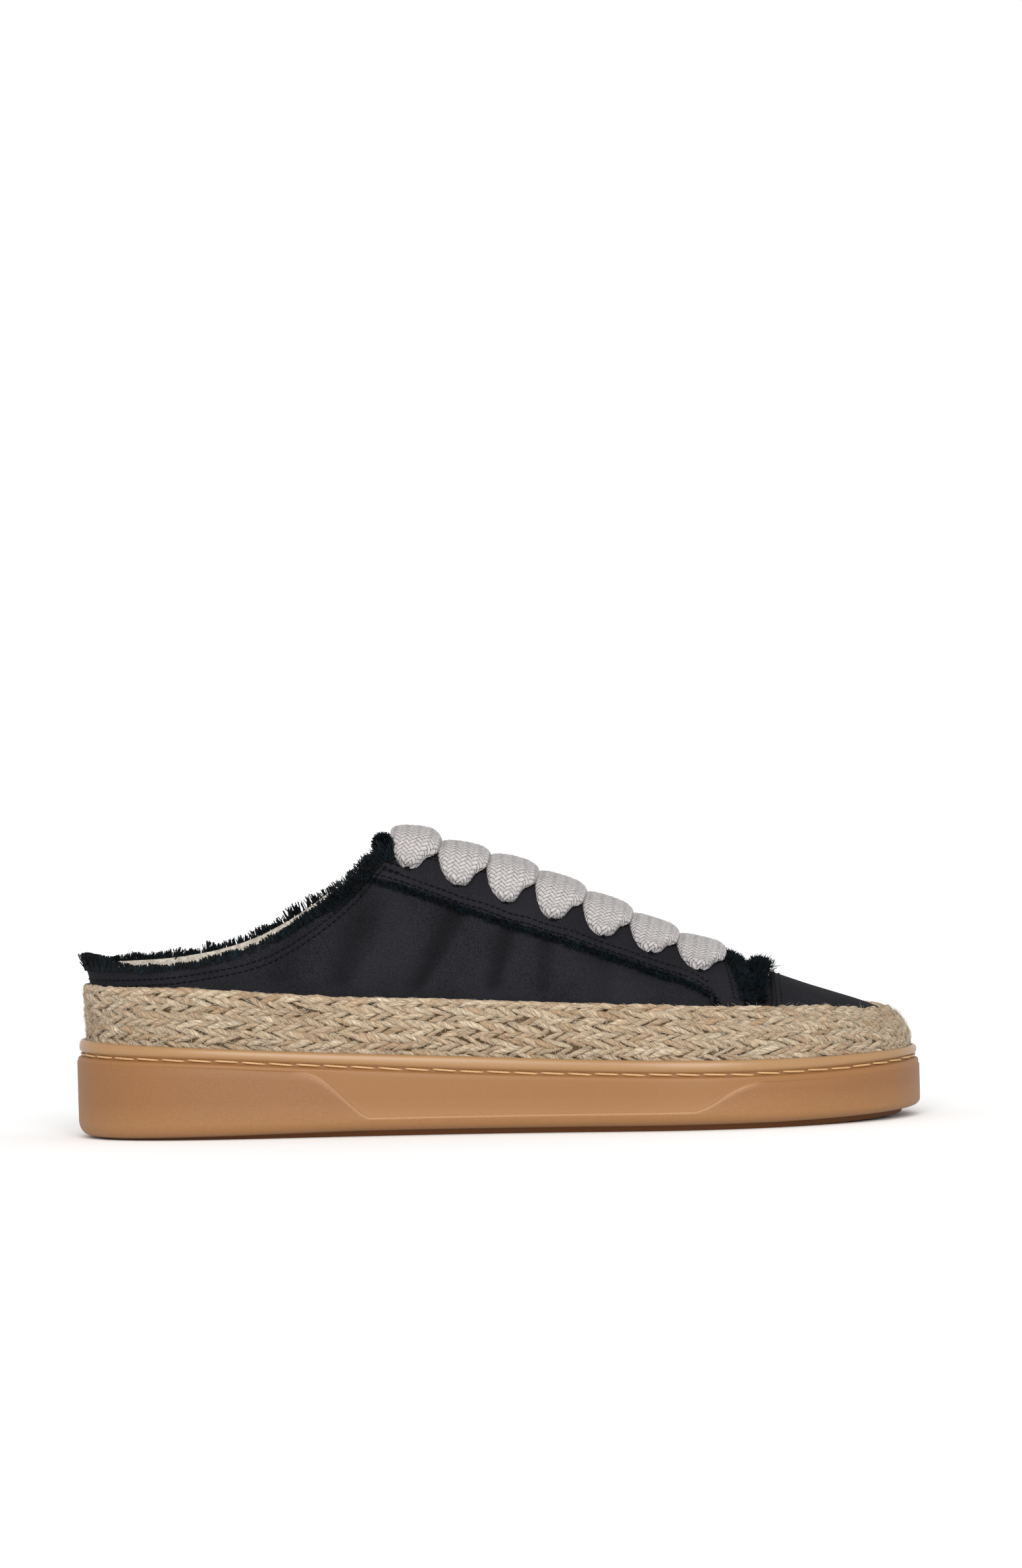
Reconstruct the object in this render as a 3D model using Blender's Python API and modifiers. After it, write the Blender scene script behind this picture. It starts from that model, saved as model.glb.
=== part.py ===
"""A backless lace-up sneaker, right shoe: satin upper, plaited jute band and gum cup sole.

Run with: blender --background --python part.py
Frame: X towards the toe, Y towards the inner (medial) side, Z up, origin on the floor under the
middle of the sole. Sizes are in millimetres; MM turns them into metres as a mesh is written.

Everything is laid out on one last. A place on it is (phi, t): phi runs round the plan outline,
0 at the heel, PI at the toe, lateral side first, and t runs up the wall, 0 at the floor of the
sole's cup, 1 at the ridge over the foot.
"""

import math

import bmesh
import bpy
import numpy as np

MM = 0.001
PI = math.pi

# Driving sizes of the shoe
SOLE_LENGTH = 268.0
BALL_WIDTH = 103.0
INSTEP_HEIGHT = 91.6
HEEL_HEIGHT = 54.0
TOE_SPRING = 1.2
CLEARANCE = 0.3

# Sole
LIP_SETBACK = 0.8
LIP_THICKNESS = 1.9
CUP_DEPTH = 7.0
GROOVE_DEPTH = 1.0
PANEL_DEPTH = 0.8
PANEL_BORDER = 5.3
TREAD_HEIGHT = 1.4
TREAD_SETBACK = 5.5
TREAD_GROOVE = 2.6
TREAD_BORDER = 6.0

# Jute band
BAND_THICKNESS = 2.7
BAND_SETBACK = 3.3
BAND_RELIEF = 1.3
BAND_STRANDS = 72
BAND_ROWS = 4
BAND_LEAN = 1.2

# Upper and what lies on it or in it
UPPER_WALL = 1.8
OVERLAY_WALL = 0.9
OVERLAY_LIFT = 0.5
TONGUE_WALL = 2.0
INSOLE_HEIGHT = 4.5
FRINGE_LENGTH = 3.0
FRINGE_WALL = 0.9
FRINGE_TUFT = 1.6
FRINGE_END = -34.2
COLLAR_HEM = 2.5
COLLAR_LOCKS = 38
CLEAR_OF_BAND = 0.6
EYESTAY_HEM = 2.6
EYESTAY_FRAY = 3.4
TONGUE_REAR = -33.0
TONGUE_HALF_WIDTHS = (22.0, 17.0)

# Lacing
LACE_BARS = 7
LACE_THICKNESS = 2.2
LACE_DOME = 1.1
LACE_ARCH = 0.3
LACE_SLANT = 0.33
LACE_ROWS = np.array([0.0, 0.12, 0.3, 0.55, 0.8, 1.0])
LACE_PINCH = np.array([0.26, 0.54, 0.82, 1.0, 1.0, 1.0])
FIRST_EYELET = -27.9
LAST_EYELET = 63.0

HALF_LENGTH = SOLE_LENGTH / 2
HALF_BALL = BALL_WIDTH / 2
BAND_LIFT = CLEARANCE
FOOT_TUCK = 0.7
FOOT_SETBACK = BAND_SETBACK + BAND_THICKNESS + BAND_LIFT + FOOT_TUCK
FOOT_REACH = HALF_LENGTH - FOOT_SETBACK
THROAT_FRONT = 70.2
THROAT_REAR = -31.0
SPINE_BEND = 80.0
SPINE_END = 98.0

# Plan outline of the sole, as shares of the half length and of the half ball width
OUTLINE = (
    # along, lateral, medial
    (-0.918, 0.460, 0.460),
    (-0.687, 0.690, 0.690),
    (-0.373, 0.725, 0.655),
    (-0.075, 0.775, 0.650),
    (0.190, 0.885, 0.820),
    (0.410, 0.985, 0.960),
    (0.630, 0.930, 0.965),
    (0.820, 0.690, 0.800),
    (0.944, 0.360, 0.560),
)
TOE_TIP = 0.14

# Levels along the side
LEVELS = (
    # along, stitch groove, top of the lip, top of the band
    (-134.0, 26.6, 31.3, 49.4),
    (-95.0, 25.1, 29.2, 48.4),
    (-53.0, 22.5, 26.8, 44.9),
    (-12.0, 20.1, 24.8, 43.1),
    (29.0, 18.5, 23.0, 40.8),
    (71.0, 17.5, 22.0, 38.0),
    (105.0, 17.7, 21.8, 36.3),
    (134.0, 19.0, 22.4, 33.4),
)
GROOVE, LIP, BAND_TOP = 1, 2, 3

# Ridge of the last: its height and its shift to the medial side
RIDGE = (
    # along, height, shift
    (-98.0, INSTEP_HEIGHT + 45.2, 0.0),
    (-70.0, INSTEP_HEIGHT + 24.7, 0.0),
    (-50.0, INSTEP_HEIGHT + 10.7, 0.0),
    (-31.0, INSTEP_HEIGHT, 0.0),
    (-10.0, INSTEP_HEIGHT - 6.4, 0.0),
    (10.0, INSTEP_HEIGHT - 13.1, 0.3),
    (32.0, INSTEP_HEIGHT - 23.2, 1.0),
    (56.0, INSTEP_HEIGHT - 34.8, 2.0),
    (75.0, INSTEP_HEIGHT - 42.1, 3.2),
    (98.0, INSTEP_HEIGHT - 50.4, 5.0),
)

# Shape of a section: how far its side stays upright, how broad its top is, how far it swells
# out, and how far the cloth swells over the band's top edge
SECTION = (
    # along, side, breadth, swell, pillow
    (-128.0, 0.60, 0.70, 5.5, 1.4),
    (-80.0, 0.60, 0.70, 5.5, 1.2),
    (-30.0, 0.60, 0.80, 5.0, 0.8),
    (20.0, 0.60, 0.62, 5.5, 0.6),
    (60.0, 0.62, 0.40, 6.5, 0.4),
    (80.0, 0.66, 0.46, 6.5, 0.3),
    (105.0, 0.70, 0.62, 6.0, 0.2),
    (128.0, 0.70, 0.72, 5.5, 0.1),
)
SIDE, BREADTH, SWELL, PILLOW = 1, 2, 3, 4

# Upper edge of the cloth at the collar, lateral side; the medial side stands a little lower
COLLAR = (
    # along, height
    (-134.0, HEEL_HEIGHT - 0.2),
    (-115.0, HEEL_HEIGHT + 0.2),
    (-94.0, HEEL_HEIGHT + 1.4),
    (-83.5, HEEL_HEIGHT + 3.2),
    (-73.0, HEEL_HEIGHT + 6.5),
    (-62.5, HEEL_HEIGHT + 12.0),
    (-52.0, HEEL_HEIGHT + 19.4),
    (-43.5, HEEL_HEIGHT + 26.8),
    (-37.0, HEEL_HEIGHT + 33.4),
    (-28.0, HEEL_HEIGHT + 43.0),
)
MEDIAL_RISE = -1.2

# Half width of the throat on each side of the ridge
THROAT = (
    # along, half width
    (-60.0, 14.0),
    (-30.0, 13.0),
    (0.0, 12.0),
    (35.0, 11.0),
    (58.0, 10.0),
    (64.0, 8.0),
    (68.0, 4.8),
    (69.6, 2.0),
    (THROAT_FRONT, 0.0),
)

# Lower seam of the eyestay and the front line of its legs, seen from the side
EYESTAY_SEAM = (
    # along, height
    (-43.0, 84.6),
    (-31.0, 80.9),
    (-20.0, 76.8),
    (2.0, 68.7),
    (26.0, 60.4),
    (51.0, 50.6),
    (60.0, 47.3),
    (64.5, 44.6),
    (67.5, 40.0),
    (68.0, 36.0),
)
EYESTAY_REAR = -41.5
EYESTAY_FRONT_TOP = 73.4
EYESTAY_FRONT_FOOT = 77.6
TOE_CAP_SEAM_TOP = 89.3
TOE_CAP_SEAM_FOOT = 91.0


# Lateral eyelets, seen from the side
EYELETS = (
    # along, height
    (-27.9, 83.2),
    (-11.4, 77.3),
    (18.4, 65.9),
    (49.3, 54.0),
    (63.0, 48.6),
)


def column(table, index):
    return np.array([row[0] for row in table]), np.array([row[index] for row in table])


def follow(table, index, along):
    """Smooth curve through one column of a table, held level past both ends."""
    xs, ys = column(table, index)
    steps = np.diff(xs)
    slopes = np.diff(ys) / steps
    inner = (slopes[:-1] * steps[1:] + slopes[1:] * steps[:-1]) / (steps[1:] + steps[:-1])
    tangents = np.concatenate([slopes[:1], inner, slopes[-1:]])
    along = np.clip(along, xs[0], xs[-1])
    i = np.clip(np.searchsorted(xs, along) - 1, 0, len(xs) - 2)
    h = steps[i]
    s = (along - xs[i]) / h
    rise = ys[i + 1] - ys[i]
    bend = s * (1 - s) * ((1 - s) * (tangents[i] * h - rise) - s * (tangents[i + 1] * h - rise))
    return ys[i] + rise * s + bend


def outline_curve():
    """Knots and second derivatives of the closed spline y(phi) round the sole."""
    lateral = [(math.acos(-x), -side) for x, side, _ in OUTLINE]
    medial = [(2 * PI - math.acos(-x), side) for x, _, side in reversed(OUTLINE)]
    knots = [(0.0, 0.0)] + lateral + [(PI, TOE_TIP)] + medial
    phi = np.array([k[0] for k in knots] + [2 * PI])
    y = np.array([k[1] for k in knots] + [knots[0][1]]) * HALF_BALL
    h = np.diff(phi)
    n = len(h)
    rise = np.diff(y) / h
    system = np.zeros((n, n))
    for i in range(n):
        system[i, i - 1] += h[i - 1]
        system[i, i] += 2 * (h[i - 1] + h[i])
        system[i, (i + 1) % n] += h[i]
    bend = np.linalg.solve(system, 6 * (rise - np.roll(rise, 1)))
    return phi, y, np.append(bend, bend[0])


OUTLINE_PHI, OUTLINE_Y, OUTLINE_BEND = outline_curve()


def plan(phi, setback=0.0):
    """Plan position (x, y) on the sole's outline, set back inwards."""
    phi = np.asarray(phi, float) % (2 * PI)
    i = np.clip(np.searchsorted(OUTLINE_PHI, phi, "right") - 1, 0, len(OUTLINE_PHI) - 2)
    h = OUTLINE_PHI[i + 1] - OUTLINE_PHI[i]
    b = (phi - OUTLINE_PHI[i]) / h
    a = 1 - b
    bend = ((a**3 - a) * OUTLINE_BEND[i] + (b**3 - b) * OUTLINE_BEND[i + 1]) * h * h / 6
    y = a * OUTLINE_Y[i] + b * OUTLINE_Y[i + 1] + bend
    slope = (OUTLINE_Y[i + 1] - OUTLINE_Y[i]) / h
    slope += ((3 * b * b - 1) * OUTLINE_BEND[i + 1] - (3 * a * a - 1) * OUTLINE_BEND[i]) * h / 6
    tangent = np.stack([HALF_LENGTH * np.sin(phi), slope], -1)
    tangent /= np.linalg.norm(tangent, axis=-1, keepdims=True)
    inward = np.stack([-tangent[..., 1], tangent[..., 0]], -1)
    place = np.stack([-HALF_LENGTH * np.cos(phi), y], -1)
    return place + np.asarray(setback)[..., None] * inward, inward


def level(index, phi):
    return follow(LEVELS, index, -HALF_LENGTH * np.cos(phi))


def cup_floor(phi):
    return level(LIP, phi) - CUP_DEPTH


def spine(phi):
    """Where along the ridge the section at phi ends; the last sections fan out from its ends."""
    x = -FOOT_REACH * np.cos(phi)
    over = np.clip(np.abs(x) - SPINE_BEND, 0, 2 * (SPINE_END - SPINE_BEND))
    return np.sign(x) * (np.minimum(np.abs(x), SPINE_BEND) + over - over**2 / (4 * (SPINE_END - SPINE_BEND)))


def last_surface(phi, t):
    """Point on the last: a Bezier section from the foot of the wall up to the ridge."""
    phi, t = np.broadcast_arrays(np.asarray(phi, float), np.asarray(t, float))
    foot, inward = plan(phi, FOOT_SETBACK)
    along = -FOOT_REACH * np.cos(phi)
    x_ridge = spine(phi)
    z_ridge = follow(RIDGE, 1, x_ridge)
    y_ridge = follow(RIDGE, 2, x_ridge)
    inside = np.clip(x_ridge, 0.5 - SPINE_END, SPINE_END - 0.5)
    slope = follow(RIDGE, 1, inside + 0.5) - follow(RIDGE, 1, inside - 0.5)
    z_foot = cup_floor(phi) + CLEARANCE
    reach = foot - np.stack([x_ridge, y_ridge], -1)
    out = -inward * follow(SECTION, SWELL, along)[..., None]
    breadth = follow(SECTION, BREADTH, along)
    side = follow(SECTION, SIDE, along)
    p0 = np.concatenate([foot, z_foot[..., None]], -1)
    p1 = np.concatenate([foot + out, (z_foot + side * (z_ridge - z_foot))[..., None]], -1)
    over = breadth[..., None] * reach
    p2 = np.stack([x_ridge + over[..., 0], y_ridge + over[..., 1], z_ridge + slope * over[..., 0]], -1)
    p3 = np.stack([x_ridge, y_ridge, z_ridge], -1)
    s = t[..., None]
    return (1 - s) ** 3 * p0 + 3 * (1 - s) ** 2 * s * p1 + 3 * (1 - s) * s * s * p2 + s**3 * p3


def outward(phi, t):
    """Unit normal of the last."""
    e = 1e-3
    low = np.maximum(t - e, 0.0)
    high = np.minimum(t + e, 1.0)
    across = last_surface(phi, high) - last_surface(phi, low)
    middle = np.minimum(t, 0.99)
    round_ = last_surface(phi + e, middle) - last_surface(phi - e, middle)
    normal = np.cross(round_, across)
    return normal / np.linalg.norm(normal, axis=-1, keepdims=True)


def skin(phi, t, lift=0.0):
    """Outer face of the upper, lifted along its normal: it swells softly over the band's edge."""
    phi, t = np.broadcast_arrays(np.asarray(phi, float), np.asarray(t, float))
    base = last_surface(phi, t)
    rise = np.clip((base[..., 2] - level(BAND_TOP, phi)) / 7.0, 0, 1)
    pillow = follow(SECTION, PILLOW, -FOOT_REACH * np.cos(phi)) * rise * rise * (3 - 2 * rise)
    return base + outward(phi, t) * (pillow + lift)[..., None]


def solve(phi, reached, low=0.0, high=1.0):
    """The t at which reached(t) turns true, by halving."""
    low = np.full(np.shape(phi), low)
    high = np.full(np.shape(phi), high)
    for _ in range(30):
        middle = (low + high) / 2
        found = reached(middle)
        high = np.where(found, middle, high)
        low = np.where(found, low, middle)
    return high


def t_at_height(phi, z):
    return solve(phi, lambda t: skin(phi, t)[..., 2] >= z)


def t_at_breadth(phi, half):
    """The t at which the section has come to this half width from the ridge."""
    shift = follow(RIDGE, 2, spine(phi))
    return solve(phi, lambda t: np.abs(skin(phi, t)[..., 1] - shift) <= half)


def phi_at(x, medial=False, t=0.5):
    """The phi whose section passes x at this t, on one side."""
    x = np.asarray(x, float)
    guess = np.arccos(np.clip(-x / FOOT_REACH, -1, 1))
    for _ in range(8):
        phi = 2 * PI - guess if medial else guess
        miss = x - skin(phi, np.broadcast_to(t, x.shape))[..., 0]
        guess = np.clip(guess + miss / (FOOT_REACH * np.maximum(np.sin(guess), 0.2)), 0.02, PI - 0.02)
    return 2 * PI - guess if medial else guess


def collar_t(phi):
    x = -FOOT_REACH * np.cos(phi)
    rise = MEDIAL_RISE * np.clip((phi - PI) / 0.6, 0, 1) * np.clip((2 * PI - phi) / 0.6, 0, 1)
    top = t_at_height(phi, follow(COLLAR, 1, x) + rise)
    return np.where(x > -24.0, 1.0, top)


def edge_t(phi):
    """Upper edge of the cloth: the collar behind, then the throat, then the closed ridge."""
    x = spine(phi)
    half = np.where(x < THROAT_FRONT, follow(THROAT, 1, x), 0.0)
    throat = np.where((half > 0.01) & (x > THROAT_REAR - 25.0), t_at_breadth(phi, half), 1.0)
    return np.minimum(collar_t(phi), throat)


def band_top_t(phi, above=0.0):
    return t_at_height(phi, level(BAND_TOP, phi) + above)


def round_the_shoe(count, extra=()):
    """Stations round the outline in mirrored pairs, with more at the given places along it."""
    half = set(np.round(np.linspace(0, PI, count // 2 + 1), 5))
    half |= {round(math.acos(-x / FOOT_REACH), 5) for x in extra}
    half = np.array(sorted(half))
    return np.concatenate([half, 2 * PI - half[-2:0:-1]])


def material(name, colour, roughness, metallic=0.0):
    made = bpy.data.materials.new(name)
    made.use_nodes = True
    shader = made.node_tree.nodes["Principled BSDF"]
    shader.inputs["Base Color"].default_value = (*colour, 1.0)
    shader.inputs["Roughness"].default_value = roughness
    shader.inputs["Metallic"].default_value = metallic
    made.diffuse_color = (*colour, 1.0)
    return made


def satin():
    return bpy.data.materials.get("satin") or material("satin", (0.025, 0.026, 0.032), 0.55)


def add_object(name, mesh, collection, finish=None):
    obj = bpy.data.objects.new(name, mesh)
    collection.objects.link(obj)
    if finish:
        mesh.materials.append(finish)
    mesh.shade_smooth()
    return obj


def grid_mesh(name, points, closed=False, weld=0.01):
    """An open sheet of quads over a grid of points, facing along round x up."""
    columns, rows = points.shape[:2]
    mesh = bpy.data.meshes.new(name)
    bm = bmesh.new()
    verts = [[bm.verts.new(p * MM) for p in line] for line in points]
    for i in range(columns if closed else columns - 1):
        for j in range(rows - 1):
            a, b = verts[i], verts[(i + 1) % columns]
            bm.faces.new((a[j], b[j], b[j + 1], a[j + 1]))
    bmesh.ops.remove_doubles(bm, verts=bm.verts, dist=weld * MM)
    bm.to_mesh(mesh)
    bm.free()
    return mesh


def sheet(name, points, thickness, collection, finish, closed=False, outwards=True):
    """A wall of even thickness on a grid of points."""
    obj = add_object(name, grid_mesh(name, points, closed), collection, finish)
    wall = obj.modifiers.new("wall", "SOLIDIFY")
    wall.thickness = thickness * MM
    wall.offset = 1.0 if outwards else -1.0
    return obj


def loft_mesh(name, rings, capped=True):
    """A closed body through rings of mirrored stations, capped across from side to side."""
    mesh = bpy.data.meshes.new(name)
    bm = bmesh.new()
    verts = [[bm.verts.new(p * MM) for p in ring] for ring in rings]
    count = len(rings[0])
    pairs = zip(verts, verts[1:] if capped else verts[1:] + verts[:1])
    for low, high in pairs:
        for i in range(count):
            k = (i + 1) % count
            bm.faces.new((low[i], low[k], high[k], high[i]))
    if capped:
        for ring, down in ((verts[0], True), (verts[-1], False)):
            for i in range(count // 2):
                face = [ring[i], ring[i + 1], ring[-i - 1], ring[-i] if i else ring[0]]
                face = list(dict.fromkeys(face))
                bm.faces.new(face[::-1] if down else face)
    bm.to_mesh(mesh)
    bm.free()
    return mesh


def ring(phi, setback, z):
    place, _ = plan(phi, np.broadcast_to(setback, phi.shape))
    return np.concatenate([place, np.broadcast_to(z, phi.shape)[:, None]], -1)


def toe_lift(phi):
    """Toe spring of the tread."""
    x = -HALF_LENGTH * np.cos(phi)
    return TOE_SPRING * (np.clip((x - 84.0) / (HALF_LENGTH - 84.0), 0, 1)) ** 2


# Lower edge of the side's smooth panel, which runs thin under the groove at heel and toe
PANEL = (
    # along, height
    (-59.5, 20.9),
    (-56.0, 19.4),
    (-42.5, 6.2),
    (-39.5, PANEL_BORDER),
    (58.5, PANEL_BORDER),
    (66.0, 7.6),
    (72.5, 12.2),
    (80.0, 14.9),
)


def panel_edge(phi):
    x = -HALF_LENGTH * np.cos(phi)
    under_groove = level(GROOVE, phi) - 2.4
    xs, zs = column(PANEL, 1)
    inside = np.interp(x, xs, zs)
    ahead = under_groove - (level_at(GROOVE, xs[-1]) - 2.4 - zs[-1])
    behind = under_groove - (level_at(GROOVE, xs[0]) - 2.4 - zs[0])
    return np.where(x < xs[0], behind, np.where(x > xs[-1], ahead, inside))


def level_at(index, x):
    return follow(LEVELS, index, np.asarray(x, float))


def make_outsole(collection, cutters):
    extra = [x for x, _ in PANEL] + [-49.0, 62.0, 69.5]
    phi = round_the_shoe(60, [x * FOOT_REACH / HALF_LENGTH for x in extra])
    lift = toe_lift(phi)
    edge = panel_edge(phi)
    groove = level(GROOVE, phi)
    lip = level(LIP, phi)
    lip_inside = LIP_SETBACK + LIP_THICKNESS
    rings = [
        ring(phi, TREAD_SETBACK + 0.6, lift),
        ring(phi, TREAD_SETBACK, lift + TREAD_HEIGHT),
        ring(phi, 4.2, lift + TREAD_HEIGHT + 0.3),
        ring(phi, 1.5, lift * 0.8 + 3.0),
        ring(phi, 0.3, edge * 0.5 + 2.2),
        ring(phi, 0.0, edge - 0.5),
        ring(phi, PANEL_DEPTH, edge + 0.4),
        ring(phi, PANEL_DEPTH * 0.8, groove - 1.0),
        ring(phi, LIP_SETBACK + GROOVE_DEPTH, groove - 0.5),
        ring(phi, LIP_SETBACK + GROOVE_DEPTH, groove + 0.5),
        ring(phi, LIP_SETBACK + 0.1, groove + 1.2),
        ring(phi, LIP_SETBACK, (groove + lip) / 2 + 0.5),
        ring(phi, LIP_SETBACK + 0.4, lip - 0.5),
        ring(phi, LIP_SETBACK + 1.1, lip),
        ring(phi, lip_inside, lip - 0.3),
        ring(phi, lip_inside, lip - CUP_DEPTH),
    ]
    gum = material("gum", (0.48, 0.25, 0.11), 0.5)
    obj = add_object("outsole", loft_mesh("outsole", rings), collection, gum)
    cutter = add_object("tread_grooves", tread_groove_mesh(), cutters)
    cutter.hide_render = True
    cutter.display_type = "WIRE"
    cut = obj.modifiers.new("tread grooves", "BOOLEAN")
    cut.operation = "DIFFERENCE"
    cut.object = cutter
    return obj


# Flex grooves across the tread: from, to and number
TREAD_BLOCKS = (
    # from, to, grooves
    (-112.0, -64.0, 5),
    (28.0, 100.0, 7),
)


def tread_groove_mesh():
    mesh = bpy.data.meshes.new("tread_grooves")
    bm = bmesh.new()
    for start, end, count in TREAD_BLOCKS:
        for x in np.linspace(start, end, count):
            lateral, medial = sole_sides(x)
            width = medial - lateral - 2 * (TREAD_SETBACK + TREAD_BORDER)
            size = (TREAD_GROOVE, width, 2 * TREAD_HEIGHT)
            centre = (x, (lateral + medial) / 2, toe_level(x))
            cube = bmesh.ops.create_cube(bm, size=1.0)
            for vert in cube["verts"]:
                for axis in range(3):
                    vert.co[axis] = (vert.co[axis] * size[axis] + centre[axis]) * MM
    bm.to_mesh(mesh)
    bm.free()
    return mesh


def toe_level(x):
    return float(toe_lift(math.acos(-x / HALF_LENGTH)))


def sole_sides(x):
    """The sole's lateral and medial y at x."""
    phi = math.acos(-x / HALF_LENGTH)
    return float(plan(phi)[0][1]), float(plan(2 * PI - phi)[0][1])


def make_band(collection):
    """Plaited band: its strands run in zigzags up the wall, each a raised rib."""
    columns = 2 * BAND_STRANDS
    rib = np.where(np.arange(columns) % 2 == 0, 1.0, 0.0)
    rows = 2 * BAND_ROWS
    rings = []
    for row in range(rows + 1):
        zig = (row // 2) % 2 if row % 2 == 0 else 0.5
        proud = 1.0 if row % 2 else 0.4
        if row in (0, rows):
            proud = 0.0
        lift = BAND_LIFT + BAND_THICKNESS - BAND_RELIEF * (1 - rib * proud)
        rings.append(band_ring(columns, BAND_LEAN * zig, row / rows, lift))
    for share, clear in ((1.0, 0.2), (0.72, 0.2), (0.42, 0.15), (0.16, 0.15), (0.0, FOOT_TUCK)):
        rings.append(band_ring(columns, 0.0, share, BAND_LIFT + clear))
    mesh = loft_mesh("jute_band", rings, capped=False)
    return add_object("jute_band", mesh, collection, material("jute", (0.56, 0.44, 0.29), 0.9))


def band_ring(columns, shift, share, lift):
    """One ring of the band, at a share of its height."""
    phi = band_stations(columns, shift)
    low = t_at_height(phi, cup_floor(phi) + CLEARANCE + 0.05)
    t = low + (band_top_t(phi) - low) * share
    return above_floor(skin(phi, t, lift), phi)


def above_floor(points, phi):
    """Points kept a gap above the floor of the sole's cup."""
    points[..., 2] = np.maximum(points[..., 2], cup_floor(phi) + CLEARANCE)
    return points


def band_stations(columns, shift):
    """Stations an even distance apart round the band, shifted along it by a share of a strand."""
    fine = np.linspace(0, 2 * PI, 2001)
    place, _ = plan(fine, BAND_SETBACK * np.ones(fine.shape))
    length = np.concatenate([[0], np.cumsum(np.linalg.norm(np.diff(place, axis=0), axis=1))])
    wanted = (np.arange(columns) + shift) / columns * length[-1]
    return np.interp(wanted, length, fine)


def make_upper(collection):
    extra = [-33.5, -30.0, -27.0, -17.0, -7.0, 3.0, 60.0, 64.0, 67.0, 69.0, 70.1]
    phi = round_the_shoe(56, extra)
    shares = np.array([0.0, 0.08, 0.17, 0.28, 0.40, 0.54, 0.69, 0.84, 1.0])
    t = edge_t(phi)[:, None] * shares
    points = skin(phi[:, None] + 0 * t, t)
    return sheet("upper", points, UPPER_WALL, collection, satin(), closed=True, outwards=False)


def make_eyestay(collection):
    """Overlay round the throat, with a frayed lower edge and a leg down to the band on each side."""
    rear = [EYESTAY_REAR, -38.5, -35.8, FRINGE_END + 1.0, FRINGE_END + 2.2]
    xs = np.concatenate([rear, np.linspace(-27.5, 66.0, 19)])
    at = np.interp(xs, (54.0, 66.0), (0.85, 0.5))
    fray = EYESTAY_FRAY * np.where(np.arange(len(xs)) % 2, 1.0, 0.5)
    shares = np.array([0.0, 0.25, 0.5, 0.75, 1.0])
    halves = []
    for medial in (False, True):
        phi = phi_at(xs, medial, at)
        top = eyestay_top(phi, xs)
        hem = np.minimum(eyestay_foot(phi, xs, EYESTAY_HEM), top - 0.012)
        tooth = np.minimum(eyestay_foot(phi, xs, EYESTAY_HEM + fray), hem - 0.002)
        t = hem[:, None] + (top - hem)[:, None] * shares
        t = np.concatenate([tooth[:, None], t], 1)
        side = skin(phi[:, None] + 0 * t, t, OVERLAY_LIFT)
        points = np.concatenate([side, eyestay_leg(medial)])
        halves.append(points[::-1] if medial else points)
    return join_sheets("eyestay", halves, OVERLAY_WALL, collection, satin())


def eyestay_leg(medial):
    """The eyestay's leg on one side, from the seam to its slanting front line."""
    foot_x = np.linspace(68.2, EYESTAY_FRONT_FOOT, 7)[:, None]
    top_x = np.linspace(67.2, EYESTAY_FRONT_TOP, 7)[:, None]
    share = np.array([0.0, 0.06, 0.29, 0.53, 0.76, 1.0])
    foot = band_top_t(phi_at(foot_x, medial, 0.4), CLEAR_OF_BAND)
    top = edge_t(phi_at(top_x, medial, 0.98))
    t = foot + (top - foot) * share
    return skin(phi_at(foot_x + (top_x - foot_x) * share, medial, t), t, OVERLAY_LIFT)


def eyestay_foot(phi, x, drop):
    """Lower edge of the eyestay, this far under its seam, and never under the band's edge."""
    seam = t_at_height(phi, follow(EYESTAY_SEAM, 1, x) - drop)
    band = band_top_t(phi, CLEAR_OF_BAND)
    return np.where(x > EYESTAY_SEAM[-2][0], band, np.maximum(seam, band))


def eyestay_top(phi, x):
    """Upper edge of the eyestay: clear of the collar's hem, then the edge of the throat."""
    edge = edge_t(phi)
    rear = t_at_height(phi, skin(phi, edge)[:, 2] - COLLAR_HEM - 1.4)
    return np.where(x < FRINGE_END + 1.5, rear, edge)


def join_sheets(name, grids, thickness, collection, finish):
    """Several grids welded where they touch, then given a wall."""
    mesh = bpy.data.meshes.new(name)
    bm = bmesh.new()
    for grid in grids:
        part = grid_mesh(name, grid)
        bm.from_mesh(part)
        bpy.data.meshes.remove(part)
    bmesh.ops.remove_doubles(bm, verts=bm.verts, dist=0.02 * MM)
    bm.to_mesh(mesh)
    bm.free()
    obj = add_object(name, mesh, collection, finish)
    wall = obj.modifiers.new("wall", "SOLIDIFY")
    wall.thickness = thickness * MM
    wall.offset = 1.0
    return obj


def make_toe_cap(collection):
    shares = np.linspace(0, 1, 5)
    start = float(phi_at(np.array([TOE_CAP_SEAM_FOOT]), False, 0.5)[0])
    stations = np.linspace(start, 2 * PI - start, 25)
    foot = band_top_t(stations, CLEAR_OF_BAND)
    t = foot[:, None] + (1 - foot)[:, None] * shares
    points = skin(stations[:, None] + 0 * t, t, OVERLAY_LIFT)
    return sheet("toe_cap", points, OVERLAY_WALL, collection, satin())


def make_tongue(collection):
    xs = np.linspace(TONGUE_REAR, 77.0, 12)
    half = np.interp(xs, (TONGUE_REAR, 77.0), TONGUE_HALF_WIDTHS)
    rows = []
    for medial in (False, True):
        phi = phi_at(xs, medial, 0.9)
        start = t_at_breadth(phi, half)
        t = start[:, None] + (1 - start)[:, None] * np.array([0.0, 0.35, 0.7, 1.0])
        rows.append(skin(phi[:, None] + 0 * t, t, -(UPPER_WALL + 2 * CLEARANCE)))
    points = np.concatenate([rows[0][:, :-1], rows[1][:, ::-1]], 1)
    return sheet("tongue", points, TONGUE_WALL, collection, satin(), outwards=False)


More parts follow.
